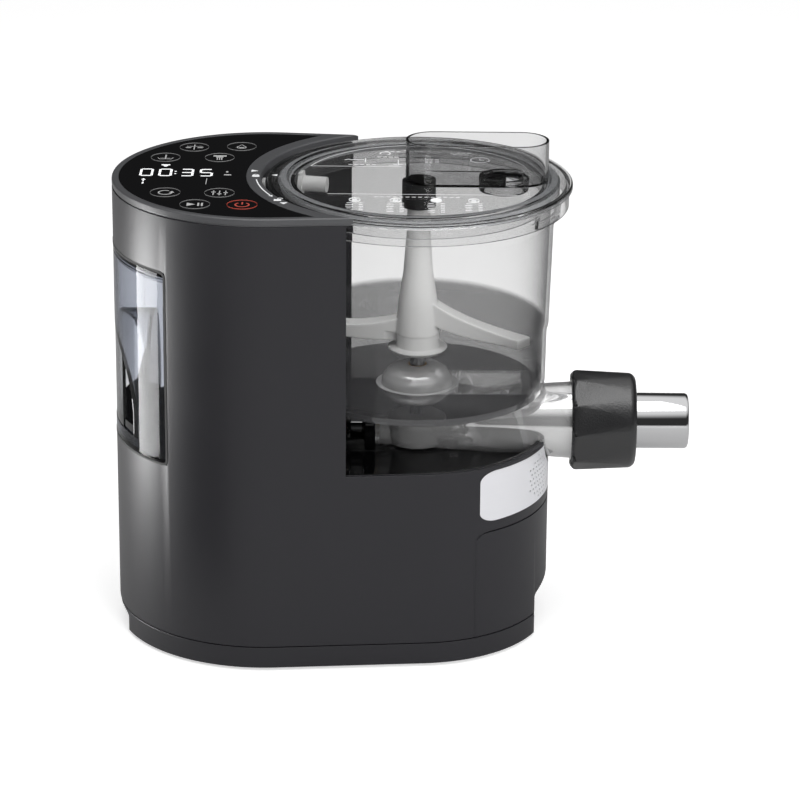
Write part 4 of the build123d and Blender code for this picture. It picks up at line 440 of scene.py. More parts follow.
FINISHES = {finish.name: finish for finish in (
    Moulded("SatinAnthracite", (0.0175, 0.0170, 0.0205), 0.38, 0.10, 2600.0, 0.10, 0.06),
    Moulded("SatinFrame", (0.070, 0.071, 0.075), 0.34, 0.06, 2600.0, 0.05, 0.05),
    Moulded("GlossBlack", (0.004, 0.004, 0.0045), 0.10, 0.0, 2600.0, 0.05, 0.05),
    Moulded("BlackInner", (0.012, 0.012, 0.013), 0.45, 0.12, 1800.0),
    Moulded("GrainedCollar", (0.014, 0.014, 0.015), 0.30, 0.85, 900.0, 0.25, 0.14, specular=0.9),
    Moulded("Rubber", (0.014, 0.014, 0.014), 0.7, 0.3, 1200.0),
    Moulded("WhitePlastic", (0.86, 0.86, 0.85), 0.32, 0.04, 1500.0, 0.03, 0.05, through=0.15),
    Moulded("OffWhiteDie", (0.62, 0.61, 0.57), 0.35, 0.05, 1500.0, 0.05, 0.05),
    Moulded("NylonGear", (0.70, 0.68, 0.60), 0.42, 0.06, 1400.0),
    Moulded("Silicone", (0.50, 0.51, 0.52), 0.4, 0.04, 1200.0, through=0.2),
    Moulded("PanelGlass", (0.0025, 0.0025, 0.003), 0.06, 0.0, 2000.0, 0.0, 0.03, specular=0.25),
    Moulded("ScreenWindow", (0.01, 0.01, 0.013), 0.12, 0.0, 2000.0),
    Moulded("CircuitBoard", (0.02, 0.10, 0.045), 0.4, 0.2, 700.0, 0.3, 0.1),
    Moulded("CopperLead", (0.42, 0.10, 0.05), 0.45, 0.1, 900.0),
    Metal("SilverBand", (0.80, 0.80, 0.83), 0.38, Lay.ROUND_Z, 0.05, 0.03, 0.35),
    Metal("PolishedSteel", (0.80, 0.80, 0.81), 0.05, Lay.ROUND_X, 0.03, 0.01),
    Metal("TurnedSteel", (0.56, 0.56, 0.57), 0.28, Lay.ROUND_X, 0.12, 0.08),
    Metal("Bronze", (0.55, 0.36, 0.16), 0.35, Lay.CAST, 0.15, 0.08),
    # the bowl's band from 160 to 211 mm is painted shade on its inner face
    ThinClear("ClearBowl", (0.06, 0.06, 0.063), 0.10, 1.0, 0.66, 160.0, 211.0, 85.8),
    Clear("ClearTube", (0.70, 0.70, 0.71), 15.0, (0.97, 0.97, 0.97), mirror=0.50, milk=0.35),
    Clear("ClearDome", (0.60, 0.60, 0.61), 20.0, (0.97, 0.97, 0.97), mirror=0.25, milk=0.45),
    Clear("SmokyLid", (0.30, 0.30, 0.31), 80.0, (0.93, 0.93, 0.93)),
    Clear("SmokyHopper", (0.25, 0.25, 0.26), 170.0, (0.85, 0.85, 0.85)),
    Clear("BluishTank", (0.50, 0.53, 0.60), 330.0, (0.70, 0.74, 0.82), 0.05, ior=1.2),
    Clear("ClearGrip", (0.40, 0.42, 0.46), 260.0, (0.80, 0.81, 0.84), ior=1.4),
    # the auger's pale second colour is a painted highlight at its flight edges
    Flight("AugerGrey", (0.16, 0.16, 0.165), (0.85, 0.85, 0.86), (0.0, 0.0, 142.5), 11.0, 15.5),
    # each ink's last number is its glow: backlight for PanelInk, painted glow for the other inks
    Ink("PanelInk", (0.86, 0.87, 0.88), 0.55),
    Ink("KeyInk", (0.20, 0.20, 0.20), 0.12),
    Ink("IconInk", (0.42, 0.42, 0.42), 0.2),
    Ink("RedInk", (0.42, 0.055, 0.035), 0.25),
    Ink("LidInk", (0.88, 0.88, 0.89), 0.15),
    Ink("BandInk", (0.85, 0.86, 0.87), 0.15))}


@cache
def paint(name: str) -> Material:
    """Gives the material of a finish."""
    return FINISHES[name].material()


# ---- mesh helpers
FRAME: dict = {}


def link(obj: Object) -> Object:
    """Puts an object in the scene and gives it back."""
    bpy.context.scene.collection.objects.link(obj)
    return obj


def mesh_object(name: str, work: Work, material: Material) -> Object:
    """Turns a bmesh, which is freed, into a named object of one material in the scene."""
    mesh = bpy.data.meshes.new(name)
    work.to_mesh(mesh)
    work.free()
    mesh.materials.append(material)
    return link(bpy.data.objects.new(name, mesh))


def skin(work: Work, rows: Sequence[Sequence[bmesh.types.BMVert]], closed: bool) -> None:
    """Joins rows of four corners into a bar.

    Args:
        work: the mesh that the bar goes into.
        rows: the corners at each step.
        closed: whether the last row joins the first; both ends are capped if not.
    """
    for k in range(len(rows) if closed else len(rows) - 1):
        one, two = rows[k], rows[(k + 1) % len(rows)]
        for side in range(4):
            work.faces.new((one[side], one[(side + 1) % 4], two[(side + 1) % 4], two[side]))
    if not closed:
        work.faces.new(rows[0])
        work.faces.new(rows[-1][::-1])


def welded(node: str) -> Work:
    """Copies the mesh of a solid with its doubled corners made one."""
    work = bmesh.new()
    work.from_mesh(FRAME["nodes"][node].data)
    bmesh.ops.remove_doubles(work, verts=work.verts, dist=WELD_M)
    return work


def plain_copy(obj: Object, name: str) -> Object:
    """Turns an object with modifiers, which is removed, into a plain named mesh object."""
    graph = bpy.context.evaluated_depsgraph_get()
    mesh = bpy.data.meshes.new_from_object(obj.evaluated_get(graph))
    bpy.data.objects.remove(obj)
    mesh.name = name
    return link(bpy.data.objects.new(name, mesh))


def softened(node: str, name: str, material: Material, voxel: float, rounds: int) -> Object:
    """Makes a copy of a solid with every edge run together, as on a soft moulding.

    Args:
        node: the solid's name.
        name: the new piece's name.
        material: its material.
        voxel: size of the steps, in millimetres.
        rounds: how often it is smoothed.

    Returns:
        The new object, which stands for the solid.
    """
    rough = mesh_object(name + "Rough", welded(node), material)
    grid = rough.modifiers.new("Grid", "REMESH")
    grid.mode = "VOXEL"
    grid.voxel_size = voxel * MM
    grid.use_smooth_shade = True
    ease = rough.modifiers.new("Ease", "SMOOTH")
    ease.factor = 0.5
    ease.iterations = rounds
    made = plain_copy(rough, name)
    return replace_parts(made, node)


def refined(node: str, name: str, material: Material, bevel: float, segments: int = 2,
            sharp: float = 32.0) -> Object:
    """Makes a rounded copy of a solid and lets it stand for the solid.

    Args:
        node: the solid's name.
        name: the new piece's name.
        material: its material.
        bevel: width of the rounding of its edges, in millimetres.
        segments: steps across the rounding.
        sharp: angle in degrees above which an edge is rounded.

    Returns:
        The new object.
    """
    work = welded(node)
    if bevel > 0:
        bmesh.ops.dissolve_limit(work, angle_limit=math.radians(FLAT_DEG), verts=work.verts,
                                 edges=work.edges)
    limit = math.radians(sharp)
    for face in work.faces:
        face.smooth = True
    for edge in work.edges:
        edge.smooth = not (edge.is_manifold and edge.calc_face_angle(0.0) > limit)
    obj = mesh_object(name, work, material)
    if bevel > 0:
        modifier = obj.modifiers.new("RoundedEdges", "BEVEL")
        modifier.width = bevel * MM
        modifier.segments = segments
        modifier.limit_method = "ANGLE"
        modifier.angle_limit = limit
        modifier.use_clamp_overlap = False
        modifier.harden_normals = True
        modifier.miter_outer = "MITER_ARC"
    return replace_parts(obj, node)


# ---- camera and light
@dataclass(frozen=True)
class Lamp:
    """A soft rectangular lamp, in metres and watts.

    Where lights is False it shows in reflections alone; where mirrored is False it doesn't show in them.
    """

    name: str
    place: Point3
    size: Point2
    power: float
    aim: Point3 = (0.0, 0.0, 0.16)
    lights: bool = True
    mirrored: bool = True

    def build(self) -> None:
        """Makes the lamp."""
        data = bpy.data.lights.new(self.name, "AREA")
        data.shape = "RECTANGLE"
        data.size, data.size_y = self.size
        data.energy = self.power
        lamp = link(bpy.data.objects.new(self.name, data))
        lamp.location = self.place
        lamp.rotation_mode = "QUATERNION"
        lamp.rotation_quaternion = (Vector(self.aim) - Vector(self.place)).to_track_quat("-Z", "Y")
        lamp.visible_camera = False
        lamp.visible_diffuse = lamp.visible_transmission = self.lights
        lamp.visible_glossy = self.mirrored


@dataclass
class Studio:
    """Camera, floor, world and lamps."""

    eye: Point3 = (7.06, -2279.45, 999.33)
    yaw: float = -0.218
    pitch: float = 20.313
    roll: float = 0.441
    focal_px: float = 3595.85
    picture_px: float = 800.0
    sensor: float = 36.0
    sight_m: float = 100.0
    floor_side: float = 60000.0
    floor_drop: float = 0.1
    floor_white: float = 0.88
    floor_dim: float = 0.42
    floor_glow: float = 0.5
    floor_gloss: float = 0.05
    sky_low: float = 0.42
    sky_high: float = 0.78
    sky_dark: float = 0.04
    sky_light: float = 0.55
    card: tuple[Point2, ...] = ((-170, -235), (-330, -150), (-900, -560), (-560, -900))
    card_lift: float = 0.5
    card_black: float = 0.01
    lamps: tuple[Lamp, ...] = (
        Lamp("TopLight", (0.1, -0.3, 1.6), (1.4, 1.2), 11.0),
        Lamp("LeftLight", (-1.5, 0.20, 0.30), (0.5, 0.55), 5.0),
        Lamp("FrontLight", (0.9, -1.8, 0.9), (1.2, 0.9), 22.0, mirrored=False),
        Lamp("LeftPanel", (-0.52, -0.01, 0.09), (0.17, 0.18), 1.7, (-0.17, -0.05, 0.09), lights=False))

    def camera(self) -> None:
        """Makes the camera."""
        turn = (Matrix.Rotation(-math.radians(self.yaw), 4, "Z")
                @ Matrix.Rotation(math.radians(90.0 - self.pitch), 4, "X")
                @ Matrix.Rotation(math.radians(self.roll), 4, "Z"))
        data = bpy.data.cameras.new("Camera")
        data.sensor_width = self.sensor
        data.lens = self.focal_px * self.sensor / self.picture_px
        data.clip_end = self.sight_m
        camera = link(bpy.data.objects.new("Camera", data))
        camera.matrix_world = Matrix.Translation(Vector(self.eye) * MM) @ turn
        bpy.context.scene.camera = camera

    @staticmethod
    def sheet(name: str, outline: Sequence[Point2], z: float, material: Material) -> Object:
        """Makes a level sheet of the stage from its outline and its height, in millimetres."""
        work = bmesh.new()
        work.faces.new([work.verts.new((x * MM, y * MM, z * MM)) for x, y in outline])
        return mesh_object(name, work, material)

    @staticmethod
    def rays(graph: Graph) -> tuple[Socket, Socket, Socket]:
        """Gives masks of the rays straight to the camera, of mirrored rays and of all but mirrored ones."""
        path = graph.node("ShaderNodeLightPath").outputs
        seen = graph.math("MAXIMUM", path["Is Camera Ray"], path["Is Transmission Ray"])
        mirrored = graph.math("MINIMUM", path["Glossy Depth"], 1.0)
        return seen, mirrored, graph.math("SUBTRACT", 1.0, mirrored)

    def floor(self) -> None:
        """Makes the pale floor, brighter to the camera than it is and dimmer to gloss."""
        made = bpy.data.materials.new("PaleFloor")
        graph = cleared(made)
        seen, mirrored, straight = self.rays(graph)
        shade = graph.math("SUBTRACT", self.floor_white, graph.math("MULTIPLY", mirrored, self.floor_dim))
        added = graph.math("ADD", graph.math("MULTIPLY", straight, seen, self.floor_glow),
                           graph.math("MULTIPLY", mirrored, self.floor_gloss))
        matt = graph.node("ShaderNodeBsdfDiffuse", Color=shade)
        glow = graph.node("ShaderNodeEmission", Strength=added)
        both = graph.node("ShaderNodeAddShader", matt.outputs[0], glow.outputs[0])
        graph.node("ShaderNodeOutputMaterial", both.outputs[0])
        half = self.floor_side / 2
        outline = ((-half, -half), (half, -half), (half, half), (-half, half))
        self.sheet("Floor", outline, -self.floor_drop, made)

    def world(self) -> None:
        """Makes the surroundings: white to the camera, dimmer as light, dark near the horizon to gloss."""
        world = bpy.data.worlds.new("Surroundings")
        bpy.context.scene.world = world
        graph = cleared(world)
        seen, mirrored, straight = self.rays(graph)
        toward = graph.node("ShaderNodeSeparateXYZ", graph.node("ShaderNodeTexCoord").outputs["Generated"])
        band = graph.rise(toward.outputs["Z"], From_Min=self.sky_low, From_Max=self.sky_high,
                          To_Min=self.sky_dark)
        plain = graph.math("MULTIPLY", straight, graph.math("MAXIMUM", seen, self.sky_light))
        strength = graph.math("ADD", plain, graph.math("MULTIPLY", mirrored, band))
        sky = graph.node("ShaderNodeBackground", Strength=strength)
        graph.node("ShaderNodeOutputWorld", sky.outputs[0])

    def flag(self) -> None:
        """Makes a dark card on the floor in front of the tail, which shows in reflections alone."""
        made = bpy.data.materials.new("DarkCard")
        graph = cleared(made)
        matt = graph.node("ShaderNodeBsdfDiffuse", Color=(*(self.card_black,) * 3, 1.0))
        graph.node("ShaderNodeOutputMaterial", matt.outputs[0])
        card = self.sheet("DarkCard", self.card, self.card_lift, made)
        card.visible_camera = card.visible_diffuse = card.visible_shadow = card.visible_transmission = False

    def build(self) -> None:
        """Makes everything round the object."""
        bpy.context.scene.view_settings.view_transform = "Standard"
        self.camera()
        self.floor()
        self.flag()
        self.world()
        for lamp in self.lamps:
            lamp.build()


# ---- prints and patterns
def polar(centre: Point2, radius: float, deg: float) -> Point2:
    """Gives the point at an angle and a distance from a centre."""
    return centre[0] + radius * math.cos(math.radians(deg)), centre[1] + radius * math.sin(math.radians(deg))


def circle(centre: Point2, radius: float, sides: int) -> list[Point2]:
    """Gives points round a circle, anticlockwise."""
    return [polar(centre, radius, 360.0 * k / sides) for k in range(sides)]


@dataclass(frozen=True)
class Stroke:
    """A line through points, or the area inside them where it has no width."""

    points: Sequence[Point2]
    width: float = 0.0
    closed: bool = False

    def add(self, work: Work, low: float, high: float) -> None:
        """Adds the stroke to a mesh, between two heights in metres."""
        if self.width > 0:
            rows = [[work.verts.new(corner) for corner in row] for row in self.rows(low, high)]
            skin(work, rows, self.closed)
            return
        foot, top = ([work.verts.new((x * MM, y * MM, z)) for x, y in self.points] for z in (low, high))
        work.faces.new(top)
        work.faces.new(foot[::-1])
        for k in range(len(top)):
            work.faces.new((foot[k - 1], foot[k], top[k], top[k - 1]))

    def rows(self, low: float, high: float) -> list[list[Point3]]:
        """Gives the four corners of the line at each of its points."""
        points, last, rows = self.points, len(self.points) - 1, []
        for k, (x, y) in enumerate(points):
            before = points[k - 1] if self.closed or k > 0 else points[k]
            after = points[(k + 1) % (last + 1)] if self.closed or k < last else points[k]
            along = Vector((after[0] - before[0], after[1] - before[1])).normalized() * self.width / 2
            rows.append([((x + side * along.y) * MM, (y - side * along.x) * MM, z)
                         for side, z in ((-1, low), (1, low), (1, high), (-1, high))])
        return rows


def sweep(centre: Point2, radius: float, start: float, end: float, width: float) -> Stroke:
    """Gives a line of a width along an arc, with its angles in degrees."""
    turn = end - start
    steps = max(ARC_STEPS, int(abs(turn) / ARC_DEG))
    return Stroke([polar(centre, radius, start + turn * k / steps) for k in range(steps + 1)], width)


def moved(strokes: Iterable[Stroke], place: Point2) -> list[Stroke]:
    """Gives the strokes of a picture, moved to a place."""
    return [Stroke([(place[0] + x, place[1] + y) for x, y in stroke.points], stroke.width, stroke.closed)
            for stroke in strokes]


def block(left: float, low: float, right: float, high: float) -> Stroke:
    """Gives a filled rectangle."""
    return Stroke(((left, high), (left, low), (right, low), (right, high)))


def triangle(deg: float, radius: float, size: float) -> Stroke:
    """Gives a filled triangle round the bowl; with a negative size it points outwards."""
    place = Vector(polar((BOWL_X, 0.0), radius, deg))
    inward = Vector(polar((0.0, 0.0), -size, deg))
    side = Vector(polar((0.0, 0.0), abs(size), deg + 90.0))
    return Stroke([tuple(point) for point in (place + inward, place - inward + side, place - inward - side)])


class Stamp(Enum):
    """Shape that a pattern repeats."""

    BAR = "bar"
    DISC = "disc"
    RING = "ring"


@dataclass(frozen=True)
class Mark:
    """One place of a pattern: where it is, how many degrees it turns and how far it is stretched."""

    place: Point3
    turn: float = 0.0
    stretch: float = 1.0


class Pattern:
    """A Geometry Nodes tree that puts one shape on many points."""

    SIZES = ("Length", "Width", "Height")
    DISC_SIDES, RING_SIDES = 20, 48

    def __init__(self, stamp: Stamp) -> None:
        """Builds the tree for one shape."""
        self.tree = bpy.data.node_groups.new("Repeat" + stamp.value.capitalize(), "GeometryNodeTree")
        for label, kind in {"Points": "Geometry", **dict.fromkeys(self.SIZES, "Float"), "Ink": "Material",
                            "Marks": "Geometry"}.items():
            self.tree.interface.new_socket(name=label, in_out="OUTPUT" if label == "Marks" else "INPUT",
                                           socket_type="NodeSocket" + kind)
        graph = Graph(self.tree)
        given = graph.node("NodeGroupInput").outputs
        turn, stretch = (graph.node("GeometryNodeInputNamedAttribute", data_type="FLOAT",
                                    Name=label).outputs[0] for label in ("turn", "stretch"))
        placed = graph.node("GeometryNodeInstanceOnPoints", Points=given["Points"],
                            Instance=self.shape(stamp, graph, given),
                            Rotation=graph.node("ShaderNodeCombineXYZ", Z=turn).outputs[0],
                            Scale=graph.node("ShaderNodeCombineXYZ", stretch, 1.0, 1.0).outputs[0])
        real = graph.node("GeometryNodeRealizeInstances", placed.outputs[0])
        dress = graph.node("GeometryNodeSetMaterial", Geometry=real.outputs[0], Material=given["Ink"])
        graph.node("NodeGroupOutput", Marks=dress.outputs[0])

    def shape(self, stamp: Stamp, graph: Graph, given: bpy.types.NodeOutputs) -> Socket:
        """Builds the shape: a flat bar, or a low disc or a thin ring as wide as the length."""
        if stamp is Stamp.BAR:
            size = graph.node("ShaderNodeCombineXYZ", *(given[label] for label in self.SIZES)).outputs[0]
            return graph.node("GeometryNodeMeshCube", Size=size).outputs["Mesh"]
        radius = graph.math("MULTIPLY", given["Length"], 0.5)
        if stamp is Stamp.DISC:
            return graph.node("GeometryNodeMeshCylinder", Vertices=self.DISC_SIDES, Depth=given["Height"],
                              Radius=radius).outputs["Mesh"]
        path = graph.node("GeometryNodeCurvePrimitiveCircle", Resolution=self.RING_SIDES, Radius=radius)
        section = graph.node("GeometryNodeCurvePrimitiveQuadrilateral", Width=given["Height"],
                             Height=given["Width"])
        return graph.node("GeometryNodeCurveToMesh", Curve=path.outputs["Curve"],
                          Profile_Curve=section.outputs[0]).outputs[0]

    def lay(self, name: str, marks: Sequence[Mark], size: Point2, material: Material) -> Object:
        """Makes one piece with the shape at each mark.

        Args:
            name: the piece's name.
            marks: the places.
            size: length and width of the shape, in millimetres.
            material: its ink.

        Returns:
            The piece.
        """
        mesh = bpy.data.meshes.new(name + "Points")
        mesh.from_pydata([[value * MM for value in mark.place] for mark in marks], [], [])
        for label, values in (("turn", [math.radians(mark.turn) for mark in marks]),
                              ("stretch", [mark.stretch for mark in marks])):
            mesh.attributes.new(label, "FLOAT", "POINT").data.foreach_set("value", values)
        holder = link(bpy.data.objects.new(name + "Points", mesh))
        modifier = holder.modifiers.new("Pattern", "NODES")
        modifier.node_group = self.tree
        values = dict(zip(self.SIZES, (size[0] * MM, size[1] * MM, MARK_T * MM)), Ink=material)
        for item in self.tree.interface.items_tree:
            if item.in_out == "INPUT" and item.name in values:
                modifier[item.identifier] = values[item.name]
        return plain_copy(holder, name)


@cache
def pattern(stamp: Stamp) -> Pattern:
    """Gives the pattern of a shape, built once."""
    return Pattern(stamp)


def lay(stamp: Stamp, name: str, marks: Sequence[Mark], size: Point2, ink: str, body: str,
        slot: str) -> None:
    """Lays a pattern in an ink and lets it ride on a body; the slot is not used."""
    made = pattern(stamp).lay(name, marks, size, paint(ink))
    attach(made, body)


def draw(name: str, level: float, strokes: Iterable[Stroke], ink: str, body: str) -> None:
    """Prints strokes over a surface at a height in millimetres, with ink and body as in lay."""
    work = bmesh.new()
    low, high = ((level + INK_GAP + rise) * MM for rise in (0.0, INK_T))
    for stroke in strokes:
        stroke.add(work, low, high)
    bmesh.ops.recalc_face_normals(work, faces=work.faces)
    made = mesh_object(name, work, paint(ink))
    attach(made, body)


# ---- sub-assemblies
@dataclass(frozen=True)
class Piece:
    """A solid that is shown by a rounded copy of its own."""

    node: str
    name: str
    finish: str
    edge: float
    body: str
    segments: int = 2


@dataclass(frozen=True)
class Dressed:
    """A sub-assembly whose pieces are all rounded copies of solids."""

    pieces: tuple[Piece, ...]

    def build(self) -> None:
        """Builds the pieces and lets them ride."""
        for piece in self.pieces:
            made = refined(piece.node, piece.name, paint(piece.finish), piece.edge, piece.segments)
            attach(made, piece.body)


SHELL = Dressed((
    Piece("housing", "BodyShell", "SatinAnthracite", 0.45, "base"),
    Piece("plinth", "BottomPan", "SatinAnthracite", 0.45, "base"),
    Piece("bowl_tray", "DripTray", "GlossBlack", 0.3, "base"),
    Piece("silver_band", "FrontBand", "SilverBand", 0.0, "base"),
    Piece("top_frame", "PanelFrame", "SatinFrame", 0.3, "base"),
    Piece("touch_glass", "PanelGlassPlate", "PanelGlass", 0.15, "base"),
    Piece("gearbox_cover", "DriveNose", "GlossBlack", 0.4, "base"),
    Piece("drawer_front", "DrawerFront", "SatinAnthracite", 0.45, "drawer")))
CLEAR_PARTS = Dressed((
    Piece("bowl", "MixingBowl", "ClearBowl", 0.0, "mixing_bowl"),
    Piece("extruder_tube", "ExtruderTube", "ClearTube", 0.0, "mixing_bowl"),
    Piece("gear_dome", "GearCover", "ClearDome", 0.0, "mixing_bowl"),
    Piece("rear_flange", "RearFlange", "GlossBlack", 0.3, "mixing_bowl"),
    Piece("lid", "LidDisc", "SmokyLid", 0.3, "lid_set"),
    Piece("lid_hopper", "LidHopper", "SmokyHopper", 0.3, "lid_set"),
    Piece("paddle_socket", "PaddleSocket", "BlackInner", 0.3, "lid_set"),
    Piece("water_spout", "WaterSpout", "WhitePlastic", 0.5, "lid_set"),
    Piece("lid_seal", "LidSeal", "Silicone", 0.0, "seal_ring")))
TANK = Dressed((
    Piece("water_tank", "WaterTankShell", "BluishTank", 0.5, "tank"),
    Piece("tank_cover", "TankCover", "BluishTank", 0.4, "tank"),
    Piece("tank_handle", "TankLining", "GlossBlack", 0.5, "tank")))
DRIVEN = Dressed((
    Piece("auger", "Auger", "AugerGrey", 0.0, "auger_set"),
    Piece("drive_coupling", "DriveCoupling", "PolishedSteel", 0.3, "drive_output"),
    Piece("die_cup", "DieCup", "PolishedSteel", 0.3, "die_holder"),
    Piece("nozzle_nut", "NozzleCollar", "GrainedCollar", 1.6, "nut", 3)))


@dataclass
class TouchPanel:
    """Prints of the glass: ring keys with plain pictures, clock digits and small marks."""

    key_size: Point2 = (19.6, 0.55)
    keys: tuple[Point2, ...] = ((-142.3, 62.0), (-110.4, 64.5), (-160.1, 37.2), (-123.9, 37.8),
                                (-155.1, -42.8), (-119.8, -42.8), (-134.3, -68.3))
    power_key: Point2 = (-103.9, -68.3)
    digit_x: tuple[float, ...] = (-170.4, -157.9, -143.6, -130.9)
    digit_y: float = 2.4
    digit_w: float = 7.4
    digit_h: float = 14.9
    bar_w: float = 1.5
    bar_gap: float = 1.0
    digits: str = "0035"
    dot_x: float = -151.3
    dot_size: Point2 = (1.4, 1.4)
    dot_rise: float = 2.6

    LIT = {"0": "abcdef", "3": "abcdg", "5": "acdfg"}
    SCALES = (Stroke(((0, -5.5), (0, 6.0)), 0.7), Stroke(((-5.4, 2.2), (5.4, 2.2)), 0.6),
              Stroke(((-6.2, -0.2), (-1.8, -0.2), (-2.8, -1.7), (-5.2, -1.7))),
              Stroke(((1.8, -0.2), (6.2, -0.2), (5.2, -1.7), (2.8, -1.7))))
    DROP = (sweep((0, -1.6), 3.0, -225.0, 45.0, 0.6), Stroke(((-2.1, 0.5), (0, 4.6), (2.1, 0.5)), 0.6),
            Stroke(((-2.0, -1.6), (-1.2, -3.2), (1.2, -3.2), (2.0, -1.6))))
    STIRRER = (Stroke(((0, -4.0), (0, 6.0)), 0.9), Stroke(((-3.4, -1.9), (3.4, -1.9)), 0.5),
               Stroke(((-5.2, -0.4), (-3.8, -3.8), (3.8, -3.8), (5.2, -0.4)), 0.5))
    PRESS = (block(-4.4, 2.6, 4.4, 5.2), block(-2.4, 0.2, 2.4, 2.2),
             *(Stroke(((x, -0.4), (x, -5.2)), 0.7) for x in (-1.5, 0.0, 1.5)))
    CYCLE = (sweep((0, 0), 4.3, 60.0, 360.0, 0.9), Stroke(((4.3, 2.9), (2.5, -0.2), (6.1, -0.2))))
    SLIDERS = (*(Stroke(((x, -4.8), (x, 4.8)), 0.7) for x in (-4.0, 0.0, 4.0)),
               *(block(x - 1.4, y - 0.7, x + 1.4, y + 0.7)
                 for x, y in ((-4.0, 1.8), (0.0, -2.0), (4.0, 0.6))))
    RUN = (Stroke(((-5.2, 3.4), (-5.2, -3.4), (0.2, 0.0))), block(1.6, -3.2, 2.8, 3.2),
           block(4.0, -3.2, 5.2, 3.2))
    PICTURES = (SCALES, DROP, STIRRER, PRESS, CYCLE, SLIDERS, RUN)
    POWER = (sweep((0, 0), 4.4, 125.0, 415.0, 1.0), Stroke(((0, 0.4), (0, 5.6)), 1.0))
    MINUTES = (Stroke(((-129.8, -23.7), (-129.8, -10.7)), 0.5), Stroke(((-117.2, 3.2), (-117.2, 6.2)), 1.4),
               Stroke(((-119.0, -2.0), (-114.2, -2.0)), 2.0))
    SIGNALS = (block(-161.7, 18.9, -155.9, 20.7),
               Stroke(((-160.4, 18.7), (-159.6, 16.0), (-158.0, 16.0), (-157.2, 18.7))),
               Stroke(((-172.8, -14.4), (-169.8, -14.4), (-171.3, -11.6))),
               Stroke(((-171.3, -15.2), (-171.3, -18.0)), 0.8),
               Stroke(((-171.3, -19.8), (-171.3, -23.2)), 1.1))

    def segments(self, z: float) -> list[Mark]:
        """Gives the places of the lit bars of the digits at a height."""
        half_w, half_h = self.digit_w / 2, self.digit_h / 2
        spots = {"a": (0, half_h, 0), "g": (0, 0, 0), "d": (0, -half_h, 0),
                 "b": (half_w, half_h / 2, 90), "c": (half_w, -half_h / 2, 90),
                 "f": (-half_w, half_h / 2, 90), "e": (-half_w, -half_h / 2, 90)}
        return [Mark((x + spots[letter][0], self.digit_y + spots[letter][1], z), spots[letter][2])
                for x, digit in zip(self.digit_x, self.digits) for letter in self.LIT[digit]]

    def build(self) -> None:
        """Builds the prints and lets them ride."""
        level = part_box("touch_glass")[1][2] / MM
        z = level + MARK_LIFT
        keys, power = [Mark((*key, z)) for key in self.keys], [Mark((*self.power_key, z))]
        dots = [Mark((self.dot_x, self.digit_y + dy, z)) for dy in (self.dot_rise, -self.dot_rise)]
        bar_size = (self.digit_h / 2 - self.bar_gap, self.bar_w)
        lay(Stamp.RING, "KeyRings", keys, self.key_size, "KeyInk", "base", "glass")
        lay(Stamp.RING, "PowerKeyRing", power, self.key_size, "RedInk", "base", "glass")
        lay(Stamp.BAR, "ClockDigits", self.segments(z), bar_size, "PanelInk", "base", "screen")
        lay(Stamp.DISC, "ClockDots", dots, self.dot_size, "PanelInk", "base", "screen")
        pictures = [stroke for key, picture in zip(self.keys, self.PICTURES)
                    for stroke in moved(picture, key)]
        draw("KeyPictures", level, (*pictures, *self.MINUTES), "IconInk", "base")
        draw("LitMarks", level, self.SIGNALS, "PanelInk", "base")
        draw("PowerPicture", level, moved(self.POWER, self.power_key), "RedInk", "base")


